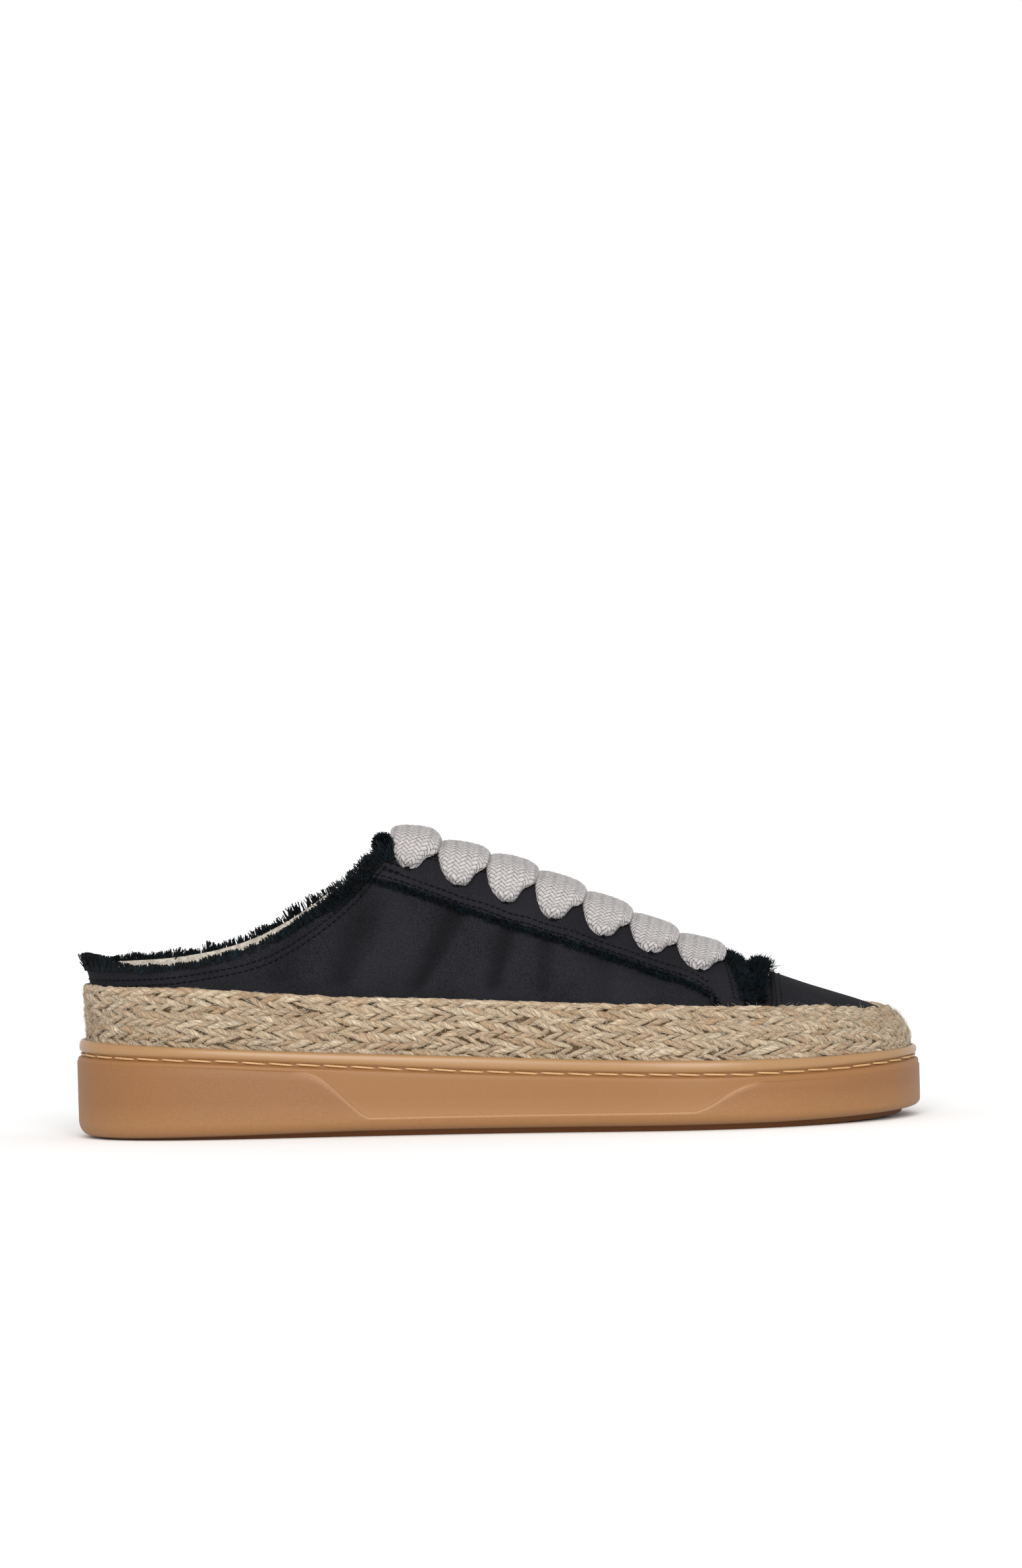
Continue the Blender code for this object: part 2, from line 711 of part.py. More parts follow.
def make_insole(collection):
    phi = round_the_shoe(36)
    floor = cup_floor(phi)
    inside = FOOT_SETBACK + UPPER_WALL + 0.8
    rings = [
        ring(phi, inside + 0.5, floor + CLEARANCE),
        ring(phi, inside, floor + CLEARANCE + 0.6),
        ring(phi, inside, floor + INSOLE_HEIGHT - 0.6),
        ring(phi, inside + 1.0, floor + INSOLE_HEIGHT),
        ring(phi, inside + 9.0, floor + INSOLE_HEIGHT - 0.8),
    ]
    mesh = loft_mesh("insole", rings)
    return add_object("insole", mesh, collection, material("lining", (0.55, 0.52, 0.48), 0.9))


def eyelet_places():
    """Each lateral eyelet: its x and its height, evenly spaced along the throat."""
    xs = np.linspace(FIRST_EYELET, LAST_EYELET, LACE_BARS)
    return xs, follow(EYELETS, 1, xs)


def bar_line(x, height, medial):
    """Centre line of one lace bar, from its eyelet to the ridge: x and t at each row."""
    eyelet = t_at_height(phi_at(np.array([x]), medial, 0.8), height)[0]
    t = eyelet + (1 - eyelet) * LACE_ROWS
    rise = skin(phi_at(np.full(len(t), x), medial, t), t)[:, 2] - height
    return np.stack([x + LACE_SLANT * rise, t])


def make_lace(collection):
    """Straight bars over the throat, pinched at the eyelets and joined where they touch."""
    xs, heights = eyelet_places()
    across = np.array([-1.0, -0.6, 0.0, 0.6, 1.0])
    swell = np.array([0.0, 0.6, 1.0, 0.95, 0.0])
    domes = np.where(np.arange(LACE_BARS) == 0, 2.2, 1.0) * LACE_DOME
    halves = []
    for medial in (False, True):
        lines = np.array([bar_line(x, z, medial) for x, z in zip(xs, heights)])
        joints = (lines[:-1] + lines[1:]) / 2
        joints = np.concatenate([[2 * lines[0] - joints[0]], joints, [2 * lines[-1] - joints[-1]]])
        bars = []
        for line, rear, front, height in zip(lines, joints[:-1], joints[1:], domes):
            side = np.where(across[:, None, None] < 0, line - rear, front - line)
            place = line + across[:, None, None] * LACE_PINCH * side
            dome = height * swell[:, None] * (0.5 + 0.5 * LACE_ROWS)
            lift = OVERLAY_LIFT + OVERLAY_WALL + CLEARANCE + dome + LACE_ARCH * LACE_ROWS
            x, t = place[:, 0], np.minimum(place[:, 1], 1.0)
            bars.append(skin(phi_at(x, medial, t), t, lift))
        halves.append(bars)
    grids = [np.concatenate([a[:, :-1], b[:, ::-1]], 1) for a, b in zip(*halves)]
    finish = material("lace", (0.62, 0.60, 0.58), 0.8)
    return join_sheets("lace", grids, LACE_THICKNESS, collection, finish)


def section_loft(name, sections, collection):
    """A closed body through a row of closed sections, with an end face at each end."""
    mesh = bpy.data.meshes.new(name)
    bm = bmesh.new()
    verts = [[bm.verts.new(p * MM) for p in section] for section in sections]
    count = len(verts[0])
    for a, b in zip(verts, verts[1:]):
        for i in range(count):
            k = (i + 1) % count
            bm.faces.new((a[i], a[k], b[k], b[i]))
    bm.faces.new(verts[0][::-1])
    bm.faces.new(verts[-1])
    bmesh.ops.triangulate(bm, faces=[f for f in bm.faces if len(f.verts) > 4])
    bm.to_mesh(mesh)
    bm.free()
    finish = bpy.data.materials.get("fray") or material("fray", (0.012, 0.016, 0.02), 0.9)
    return add_object(name, mesh, collection, finish)


def make_collar_fringe(collection):
    """Frayed edge of the collar: a hem with a row of locks above it, densest at the throat."""
    start = float(phi_at(np.array([FRINGE_END]), False, 0.85)[0])
    phi = (-start + np.arange(2 * COLLAR_LOCKS + 1) / COLLAR_LOCKS * start) % (2 * PI)
    edge = edge_t(phi)
    lock = np.arange(len(phi)) % 2
    dense = np.clip((-FOOT_REACH * np.cos(phi) + 62.0) / 22.0, 0, 1)
    at_heel = np.clip((-FOOT_REACH * np.cos(phi) - 104.0) / -20.0, 0, 1)
    tall = (FRINGE_LENGTH + 1.2 * at_heel + 0.6 * dense) * (0.6 + 0.4 * lock)
    tuft = FRINGE_TUFT * dense
    hem = t_at_height(phi, skin(phi, edge)[:, 2] - COLLAR_HEM)
    rim = skin(phi, edge)
    out = outward(phi, edge)
    up = np.array([-0.1, 0.0, 0.95])
    low = skin(phi, np.minimum(hem, edge - 0.02), CLEARANCE)
    low_out = skin(phi, np.minimum(hem, edge - 0.02), CLEARANCE + FRINGE_WALL)
    rows = [
        low,
        rim + out * CLEARANCE,
        rim + up * (CLEARANCE + 0.5) + out * (CLEARANCE - tuft)[:, None],
        rim + up * tall[:, None] + out * (CLEARANCE + 0.35 * tall - 0.8 * tuft)[:, None],
        rim + up * tall[:, None] + out * (CLEARANCE + FRINGE_WALL * 0.7 + 0.35 * tall)[:, None],
        rim + up * 0.4 + out * (CLEARANCE + FRINGE_WALL + tuft)[:, None],
        low_out + out * (0.4 * tuft)[:, None],
    ]
    return section_loft("collar_fringe", np.stack(rows, 1), collection)


def across_vamp(name, x_top, x_foot, profile, locks, collection):
    """A fringe across the vamp: a closed profile swept along a line from band to ridge to band."""
    share = np.linspace(0, 1, locks + 1)
    x = x_foot + (x_top - x_foot) * share
    halves = []
    for medial in (False, True):
        phi = phi_at(x, medial, 0.7)
        foot = band_top_t(phi, 1.5)
        t = foot + (1 - foot) * share
        points = [
            skin(phi_at(x + shift, medial, t), t, lift)
            for shift, lift in profile(share, np.arange(locks + 1) % 2)
        ]
        points = np.stack(points, 1)
        halves.append(points[::-1] if medial else points[:-1])
    return section_loft(name, np.concatenate(halves), collection)


def vamp_profile(share, lock):
    """Frayed front edge of the eyestay: shift and lift of its outline, lying forwards."""
    root = OVERLAY_LIFT + 0 * share
    high = root + 1.9 + 0.7 * share + 0.5 * lock
    reach = 4.6 - 1.6 * share + 0.9 * lock
    return [(0.9, root), (1.3, high), (3.6, high + 0.3), (reach + 0.6, high - 0.8), (reach + 1.0, root)]


def toe_profile(share, lock):
    """Frayed rear edge of the toe cap: shift and lift of its outline, standing and leaning back."""
    root = OVERLAY_LIFT + 0 * share
    tall = (2.2 + 3.8 * share**2) * (0.85 + 0.15 * lock)
    lean = 2.4 * share
    return [
        (-6.4, root),
        (-6.2 - lean, root + tall * 0.8),
        (-4.6 - lean, root + tall),
        (-2.6 - lean, root + tall),
        (-1.8, root),
    ]


def main():
    for old in list(bpy.data.objects):
        bpy.data.objects.remove(old)
    shoe = bpy.data.collections.new("backless_sneaker")
    cutters = bpy.data.collections.new("cutters")
    bpy.context.scene.collection.children.link(shoe)
    bpy.context.scene.collection.children.link(cutters)
    make_outsole(shoe, cutters)
    make_band(shoe)
    make_upper(shoe)
    make_eyestay(shoe)
    make_toe_cap(shoe)
    make_tongue(shoe)
    make_insole(shoe)
    make_lace(shoe)
    make_collar_fringe(shoe)
    across_vamp("vamp_fringe", EYESTAY_FRONT_TOP, EYESTAY_FRONT_FOOT, vamp_profile, 9, shoe)
    across_vamp("toe_cap_fringe", TOE_CAP_SEAM_TOP, TOE_CAP_SEAM_FOOT, toe_profile, 9, shoe)


main()
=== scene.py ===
"""Looks of the backless sneaker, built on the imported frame. Sizes in mm; MM turns them into metres.

A place on the last is (phi, t): phi runs round the outline, 0 at the heel, PI at the toe, outer
side first; t runs up the wall, 0 at the floor of the sole's cup, 1 at the ridge over the foot.
"""

import math

import bpy
import numpy as np
from mathutils import Matrix, Vector


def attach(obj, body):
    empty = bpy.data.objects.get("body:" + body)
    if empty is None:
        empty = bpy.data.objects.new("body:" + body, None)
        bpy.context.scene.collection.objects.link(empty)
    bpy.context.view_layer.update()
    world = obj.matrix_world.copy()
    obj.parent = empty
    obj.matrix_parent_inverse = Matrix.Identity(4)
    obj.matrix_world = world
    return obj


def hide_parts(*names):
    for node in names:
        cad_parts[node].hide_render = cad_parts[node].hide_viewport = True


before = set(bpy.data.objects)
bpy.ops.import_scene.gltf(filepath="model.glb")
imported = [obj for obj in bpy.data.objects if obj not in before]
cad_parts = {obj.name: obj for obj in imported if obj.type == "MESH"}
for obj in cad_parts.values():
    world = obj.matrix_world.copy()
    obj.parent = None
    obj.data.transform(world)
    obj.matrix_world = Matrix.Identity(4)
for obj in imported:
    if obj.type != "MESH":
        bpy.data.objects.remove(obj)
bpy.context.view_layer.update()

MM = 0.001
PI = math.pi
AHEAD, UPWARD = (1.0, 0.0, 0.0), np.array([0.0, 0.0, 1.0])
RNG = np.random.default_rng(7)

# Driving sizes, as in the part's source
SOLE_LENGTH = 268.0
BALL_WIDTH = 103.0
INSTEP_HEIGHT = 91.6
HEEL_HEIGHT = 54.0
TOE_SPRING = 1.2
CLEARANCE = 0.3
LIP_SETBACK = 0.8
LIP_THICKNESS = 1.9
CUP_DEPTH = 7.0
GROOVE_DEPTH = 1.0
PANEL_DEPTH = 0.8
PANEL_BORDER = 5.3
TREAD_HEIGHT = 1.4
TREAD_SETBACK = 5.5
TREAD_GROOVE = 2.6
TREAD_BORDER = 6.0
TREAD_RIM = 2.5
BAND_THICKNESS = 2.7
BAND_SETBACK = 3.3
UPPER_WALL = 1.8
OVERLAY_WALL = 0.9
OVERLAY_LIFT = 0.5
CLEAR_OF_BAND = 0.6
EYESTAY_HEM = 2.6
EYESTAY_OVERRUN = 3.2
LACE_BARS = 7
LACE_THICKNESS = 2.2
LACE_SLANT = 0.33
FIRST_EYELET = -27.9
LAST_EYELET = 63.0
FRINGE_END = -34.2
MEDIAL_RISE = -1.2

HALF_LENGTH = SOLE_LENGTH / 2
HALF_BALL = BALL_WIDTH / 2
FOOT_SETBACK = BAND_SETBACK + BAND_THICKNESS + CLEARANCE + 0.7
FOOT_REACH = HALF_LENGTH - FOOT_SETBACK
THROAT_FRONT = 70.2
THROAT_REAR = -31.0
EYESTAY_SIDE_FRONT = 66.0
SPINE_BEND = 80.0
SPINE_END = 98.0
EYESTAY_REAR = -41.5
EYESTAY_FRONT_TOP = 73.4
EYESTAY_FRONT_FOOT = 77.6
TOE_CAP_SEAM_TOP = 86.8
TOE_CAP_SEAM_FOOT = 86.6

# along, lateral, medial: shares of half the length and half the ball width
OUTLINE = (
    (-0.918, 0.460, 0.460),
    (-0.687, 0.690, 0.690),
    (-0.373, 0.725, 0.655),
    (-0.075, 0.775, 0.650),
    (0.190, 0.885, 0.820),
    (0.410, 0.985, 0.960),
    (0.630, 0.930, 0.965),
    (0.820, 0.690, 0.800),
    (0.944, 0.360, 0.560),
)
TOE_TIP = 0.14

# along, stitch groove, top of the lip, top of the band
LEVELS = (
    (-134.0, 26.6, 31.3, 49.4),
    (-95.0, 25.1, 29.2, 48.4),
    (-53.0, 22.5, 26.8, 44.9),
    (-12.0, 20.1, 24.8, 43.1),
    (29.0, 18.5, 23.0, 40.8),
    (71.0, 17.5, 22.0, 38.0),
    (105.0, 17.7, 21.8, 36.3),
    (134.0, 19.0, 22.4, 33.4),
)
GROOVE, LIP, BAND_TOP = 1, 2, 3

# along, height, shift to the medial side
RIDGE = (
    (-98.0, INSTEP_HEIGHT + 45.2, 0.0),
    (-70.0, INSTEP_HEIGHT + 24.7, 0.0),
    (-50.0, INSTEP_HEIGHT + 10.7, 0.0),
    (-31.0, INSTEP_HEIGHT, 0.0),
    (-10.0, INSTEP_HEIGHT - 6.4, 0.0),
    (10.0, INSTEP_HEIGHT - 13.1, 0.3),
    (32.0, INSTEP_HEIGHT - 23.2, 1.0),
    (56.0, INSTEP_HEIGHT - 34.8, 2.0),
    (75.0, INSTEP_HEIGHT - 42.1, 3.2),
    (98.0, INSTEP_HEIGHT - 50.4, 5.0),
)

# along, side, breadth, swell, pillow
SECTION = (
    (-128.0, 0.60, 0.70, 5.5, 1.4),
    (-80.0, 0.60, 0.70, 5.5, 1.2),
    (-30.0, 0.60, 0.80, 5.0, 0.8),
    (20.0, 0.60, 0.62, 5.5, 0.6),
    (60.0, 0.62, 0.40, 6.5, 0.4),
    (80.0, 0.66, 0.46, 6.5, 0.3),
    (105.0, 0.70, 0.62, 6.0, 0.2),
    (128.0, 0.70, 0.72, 5.5, 0.1),
)
SIDE, BREADTH, SWELL, PILLOW = 1, 2, 3, 4

# along, height of the collar's edge on the lateral side
COLLAR = (
    (-134.0, HEEL_HEIGHT - 0.2),
    (-115.0, HEEL_HEIGHT + 0.2),
    (-94.0, HEEL_HEIGHT + 1.4),
    (-83.5, HEEL_HEIGHT + 3.2),
    (-73.0, HEEL_HEIGHT + 6.5),
    (-62.5, HEEL_HEIGHT + 12.0),
    (-52.0, HEEL_HEIGHT + 19.4),
    (-43.5, HEEL_HEIGHT + 26.8),
    (-37.0, HEEL_HEIGHT + 33.4),
    (-28.0, HEEL_HEIGHT + 43.0),
)

# along, half width of the throat
THROAT = (
    (-60.0, 14.0),
    (-30.0, 13.0),
    (0.0, 12.0),
    (35.0, 11.0),
    (58.0, 10.0),
    (64.0, 8.0),
    (68.0, 4.8),
    (69.6, 2.0),
    (THROAT_FRONT, 0.0),
)

# along, height of the eyestay's lower seam, and of the lateral eyelets
EYESTAY_SEAM = (
    (-43.0, 84.6),
    (-31.0, 80.9),
    (-20.0, 76.8),
    (2.0, 68.7),
    (26.0, 60.4),
    (51.0, 50.6),
    (60.0, 47.3),
    (64.5, 44.6),
    (67.5, 40.0),
    (68.0, 36.0),
)
EYELETS = (
    (-27.9, 83.2),
    (-11.4, 77.3),
    (18.4, 65.9),
    (49.3, 54.0),
    (63.0, 48.6),
)

# along, height of the lower edge of the sole's smooth panel
PANEL = (
    (-59.5, 20.9),
    (-56.0, 19.4),
    (-42.5, 6.2),
    (-39.5, PANEL_BORDER),
    (58.5, PANEL_BORDER),
    (66.0, 7.6),
    (72.5, 12.2),
    (80.0, 14.9),
)

# Plait of the band: rows of strands, strands in a row, the length of one, and the share of the
# band that is hidden in the sole's cup
PLAIT_ROWS = 8
PLAIT_STRANDS = 132
STRAND_LENGTH = 9.0
PLAIT_FOOT = 0.2
JUTE_HAIRS = 7000

# Lace braid: each strand goes over two and under two, in columns this wide, at this pitch
BRAID_WIDTH = 1.85
BRAID_HEIGHT = 1.75
TAPE_COLUMNS = 51
BAR_ROWS = 112

SOLE_STITCHES = 72
TUFT_THREADS = 1500
EYESTAY_THREADS = 5600
# share of the loose threads that are on the medial side, in front of the collar
MEDIAL_SHARE = 0.42

# from, to, number of flex grooves across the tread
TREAD_BLOCKS = ((-112.0, -64.0, 5), (28.0, 100.0, 7))


# The last: the same curves as in the part's source


def follow(table, index, along):
    """Smooth curve through one column of a table, held level past both ends."""
    xs = np.array([row[0] for row in table])
    ys = np.array([row[index] for row in table])
    steps = np.diff(xs)
    slopes = np.diff(ys) / steps
    inner = (slopes[:-1] * steps[1:] + slopes[1:] * steps[:-1]) / (steps[1:] + steps[:-1])
    tangents = np.concatenate([slopes[:1], inner, slopes[-1:]])
    along = np.clip(along, xs[0], xs[-1])
    i = np.clip(np.searchsorted(xs, along) - 1, 0, len(xs) - 2)
    h = steps[i]
    s = (along - xs[i]) / h
    rise = ys[i + 1] - ys[i]
    bend = s * (1 - s) * ((1 - s) * (tangents[i] * h - rise) - s * (tangents[i + 1] * h - rise))
    return ys[i] + rise * s + bend


def outline_curve():
    """Knots and second derivatives of the closed spline y(phi) round the sole."""
    lateral = [(math.acos(-x), -side) for x, side, _ in OUTLINE]
    medial = [(2 * PI - math.acos(-x), side) for x, _, side in reversed(OUTLINE)]
    knots = [(0.0, 0.0)] + lateral + [(PI, TOE_TIP)] + medial
    phi = np.array([k[0] for k in knots] + [2 * PI])
    y = np.array([k[1] for k in knots] + [knots[0][1]]) * HALF_BALL
    h = np.diff(phi)
    n = len(h)
    rise = np.diff(y) / h
    system = np.zeros((n, n))
    for i in range(n):
        system[i, i - 1] += h[i - 1]
        system[i, i] += 2 * (h[i - 1] + h[i])
        system[i, (i + 1) % n] += h[i]
    bend = np.linalg.solve(system, 6 * (rise - np.roll(rise, 1)))
    return phi, y, np.append(bend, bend[0])


OUTLINE_PHI, OUTLINE_Y, OUTLINE_BEND = outline_curve()


def plan(phi, setback=0.0):
    """Place (x, y) on the sole's outline, set back inwards, and the way inwards."""
    phi = np.asarray(phi, float) % (2 * PI)
    i = np.clip(np.searchsorted(OUTLINE_PHI, phi, "right") - 1, 0, len(OUTLINE_PHI) - 2)
    h = OUTLINE_PHI[i + 1] - OUTLINE_PHI[i]
    b = (phi - OUTLINE_PHI[i]) / h
    a = 1 - b
    bend = ((a**3 - a) * OUTLINE_BEND[i] + (b**3 - b) * OUTLINE_BEND[i + 1]) * h * h / 6
    y = a * OUTLINE_Y[i] + b * OUTLINE_Y[i + 1] + bend
    slope = (OUTLINE_Y[i + 1] - OUTLINE_Y[i]) / h
    slope += ((3 * b * b - 1) * OUTLINE_BEND[i + 1] - (3 * a * a - 1) * OUTLINE_BEND[i]) * h / 6
    tangent = np.stack([HALF_LENGTH * np.sin(phi), slope], -1)
    tangent /= np.linalg.norm(tangent, axis=-1, keepdims=True)
    inward = np.stack([-tangent[..., 1], tangent[..., 0]], -1)
    place = np.stack([-HALF_LENGTH * np.cos(phi), y], -1)
    return place + np.asarray(setback)[..., None] * inward, inward


def level(index, phi):
    return follow(LEVELS, index, -HALF_LENGTH * np.cos(phi))


def cup_floor(phi):
    return level(LIP, phi) - CUP_DEPTH


def spine(phi):
    """Where along the ridge the section at phi ends; the last sections fan out from its ends."""
    x = -FOOT_REACH * np.cos(phi)
    bend = SPINE_END - SPINE_BEND
    over = np.clip(np.abs(x) - SPINE_BEND, 0, 2 * bend)
    return np.sign(x) * (np.minimum(np.abs(x), SPINE_BEND) + over - over**2 / (4 * bend))


def last_surface(phi, t):
    """Point on the last: a Bezier section from the foot of the wall up to the ridge."""
    phi, t = np.broadcast_arrays(np.asarray(phi, float), np.asarray(t, float))
    foot, inward = plan(phi, FOOT_SETBACK)
    along = -FOOT_REACH * np.cos(phi)
    x_ridge = spine(phi)
    z_ridge = follow(RIDGE, 1, x_ridge)
    y_ridge = follow(RIDGE, 2, x_ridge)
    inside = np.clip(x_ridge, 0.5 - SPINE_END, SPINE_END - 0.5)
    slope = follow(RIDGE, 1, inside + 0.5) - follow(RIDGE, 1, inside - 0.5)
    z_foot = cup_floor(phi) + CLEARANCE
    reach = foot - np.stack([x_ridge, y_ridge], -1)
    out = -inward * follow(SECTION, SWELL, along)[..., None]
    breadth = follow(SECTION, BREADTH, along)
    side = follow(SECTION, SIDE, along)
    p0 = np.concatenate([foot, z_foot[..., None]], -1)
    p1 = np.concatenate([foot + out, (z_foot + side * (z_ridge - z_foot))[..., None]], -1)
    over = breadth[..., None] * reach
    p2 = np.stack([x_ridge + over[..., 0], y_ridge + over[..., 1], z_ridge + slope * over[..., 0]], -1)
    p3 = np.stack([x_ridge, y_ridge, z_ridge], -1)
    s = t[..., None]
    return (1 - s) ** 3 * p0 + 3 * (1 - s) ** 2 * s * p1 + 3 * (1 - s) * s * s * p2 + s**3 * p3


def outward(phi, t):
    """Unit normal of the last."""
    e = 1e-3
    across = last_surface(phi, np.minimum(t + e, 1.0)) - last_surface(phi, np.maximum(t - e, 0.0))
    middle = np.minimum(t, 0.99)
    round_ = last_surface(phi + e, middle) - last_surface(phi - e, middle)
    normal = np.cross(round_, across)
    return normal / np.linalg.norm(normal, axis=-1, keepdims=True)


def skin(phi, t, lift=0.0):
    """Outer face of the upper, lifted along its normal: it swells softly over the band's edge."""
    phi, t = np.broadcast_arrays(np.asarray(phi, float), np.asarray(t, float))
    base = last_surface(phi, t)
    rise = np.clip((base[..., 2] - level(BAND_TOP, phi)) / 7.0, 0, 1)
    pillow = follow(SECTION, PILLOW, -FOOT_REACH * np.cos(phi)) * rise * rise * (3 - 2 * rise)
    return base + outward(phi, t) * (pillow + lift)[..., None]


def solve(phi, reached):
    """The t at which reached(t) turns true, by halving."""
    low = np.zeros(np.shape(phi))
    high = np.ones(np.shape(phi))
    for _ in range(20):
        middle = (low + high) / 2
        found = reached(middle)
        high = np.where(found, middle, high)
        low = np.where(found, low, middle)
    return high


def t_at_height(phi, z):
    return solve(phi, lambda t: skin(phi, t)[..., 2] >= z)


def t_at_breadth(phi, half):
    """The t at which the section has come to this half width from the ridge."""
    shift = follow(RIDGE, 2, spine(phi))
    return solve(phi, lambda t: np.abs(skin(phi, t)[..., 1] - shift) <= half)


def phi_at(x, medial=False, t=0.5):
    """The phi whose section passes x at this t, on one side."""
    x, t = np.broadcast_arrays(np.asarray(x, float), np.asarray(t, float))
    guess = np.arccos(np.clip(-x / FOOT_REACH, -1, 1))
    for _ in range(8):
        miss = x - skin(np.where(medial, 2 * PI - guess, guess), t)[..., 0]
        step = miss / (FOOT_REACH * np.maximum(np.sin(guess), 0.2))
        guess = np.clip(guess + step, 0.02, PI - 0.02)
    return np.where(medial, 2 * PI - guess, guess)


def collar_t(phi):
    x = -FOOT_REACH * np.cos(phi)
    rise = MEDIAL_RISE * np.clip((phi - PI) / 0.6, 0, 1) * np.clip((2 * PI - phi) / 0.6, 0, 1)
    return np.where(x > -24.0, 1.0, t_at_height(phi, follow(COLLAR, 1, x) + rise))


def edge_t(phi):
    """Upper edge of the cloth: the collar behind, then the throat, then the closed ridge."""
    x = spine(phi)
    half = np.where(x < THROAT_FRONT, follow(THROAT, 1, x), 0.0)
    throat = np.where((half > 0.01) & (x > THROAT_REAR - 25.0), t_at_breadth(phi, half), 1.0)
    return np.minimum(collar_t(phi), throat)


def band_top_t(phi, above=0.0):
    return t_at_height(phi, level(BAND_TOP, phi) + above)


# Helpers


def ease(x, start, end):
    """0 up to start, 1 from end on and straight between; end may be the lower of the two."""
    return np.clip((x - start) / (end - start), 0, 1)


def unit(v):
    return v / np.linalg.norm(v, axis=-1, keepdims=True)


def travelled(path):
    """How far along its path each point lies."""
    steps = np.linalg.norm(np.diff(path, axis=0), axis=-1)
    return np.concatenate([0 * steps[:1], np.cumsum(steps, 0)])


def tones(count, middle, spread, more=0.0):
    """A random shade for each thread, 0 dark to 1 light."""
    return np.clip(RNG.normal(middle, spread, count) + more, 0, 1)


def grain(p, size, seed=0):
    """Smooth value noise from -1 to 1 at points p, with features of this size."""
    q = np.asarray(p, float) / size + 37.0 * seed
    cell = np.floor(q).astype(np.int64)
    f = q - cell
    f = f * f * (3 - 2 * f)
    total = 0.0
    for corner in range(1 << q.shape[-1]):
        bits = np.array([(corner >> k) & 1 for k in range(q.shape[-1])])
        key = np.zeros(q.shape[:-1], np.int64)
        for k in range(q.shape[-1]):
            key = (key * 73856093) ^ ((cell[..., k] + bits[k]) * (19349663 + 83492791 * k))
        key = (key ^ (key >> 13)) * 1274126177
        value = ((key ^ (key >> 16)) & 0xFFFF) / 32767.5 - 1.0
        weight = np.prod(np.where(bits, f, 1 - f), axis=-1)
        total = total + value * weight
    return total


def link(name, data):
    obj = bpy.data.objects.new(name, data)
    bpy.context.scene.collection.objects.link(obj)
    return obj


def mesh_object(name, verts, faces, material, values=None, smooth=True):
    """An object from vertices in mm and quads or triangles, with named values per vertex."""
    mesh = bpy.data.meshes.new(name)
    verts = np.asarray(verts, float).reshape(-1, 3) * MM
    faces = np.asarray(faces, np.int32)
    sides = faces.shape[1]
    mesh.vertices.add(len(verts))
    mesh.vertices.foreach_set("co", verts.astype(np.float32).ravel())
    mesh.loops.add(faces.size)
    mesh.loops.foreach_set("vertex_index", faces.ravel())
    mesh.polygons.add(len(faces))
    mesh.polygons.foreach_set("loop_start", np.arange(len(faces), dtype=np.int32) * sides)
    mesh.update(calc_edges=True)
    for key, value in (values or {}).items():
        kind, field = ("FLOAT_VECTOR", "vector") if np.ndim(value) > 1 else ("FLOAT", "value")
        layer = mesh.attributes.new(key, kind, "POINT")
        layer.data.foreach_set(field, np.asarray(value, np.float32).ravel())
    mesh.polygons.foreach_set("use_smooth", np.full(len(faces), smooth))
    mesh.materials.append(material)
    return link(name, mesh)


def grid_faces(columns, rows, closed=False):
    """Quads over a grid of columns by rows that face along round x up."""
    i = np.arange(columns if closed else columns - 1)[:, None]
    j = np.arange(rows - 1)[None, :]
    a = i * rows + j
    b = ((i + 1) % columns) * rows + j
    return np.stack([a, b, b + 1, a + 1], -1).reshape(-1, 4)


def grid_object(name, points, material, closed=False, values=None):
    faces = grid_faces(points.shape[0], points.shape[1], closed)
    return mesh_object(name, points, faces, material, values)


def ring_angles(sides):
    return np.arange(sides) / sides * 2 * PI


def tubes(paths, radii, sides, up, flat=1.0):
    """Vertices and quads of tubes along many paths with the same number of points."""
    count, steps = paths.shape[:2]
    tangent = np.gradient(paths, axis=1)
    tangent /= np.linalg.norm(tangent, axis=-1, keepdims=True) + 1e-9
    across = np.cross(tangent, up)
    across /= np.linalg.norm(across, axis=-1, keepdims=True) + 1e-9
    above = np.cross(across, tangent)
    angle = ring_angles(sides)[:, None]
    ring = np.cos(angle) * across[:, :, None] + flat * np.sin(angle) * above[:, :, None]
    verts = paths[:, :, None] + radii[..., None, None] * ring
    i = np.arange(count)[:, None, None] * steps * sides
    j = np.arange(steps - 1)[None, :, None] * sides
    k = np.arange(sides)[None, None, :]
    n = (k + 1) % sides
    faces = np.stack([i + j + k, i + j + sides + k, i + j + sides + n, i + j + n], -1)
    return verts.reshape(-1, 3), faces.reshape(-1, 4)


def draw_in(verts, paths, share):
    """Vertices of tubes moved towards their paths, to this share of the way out."""
    centre = np.repeat(paths.reshape(-1, 3), 3 * len(verts) // paths.size, 0)
    return centre + (verts - centre) * share.reshape(-1, 1)


BLACK, WHITE = (0.0, 0.0, 0.0), (1.0, 1.0, 1.0)


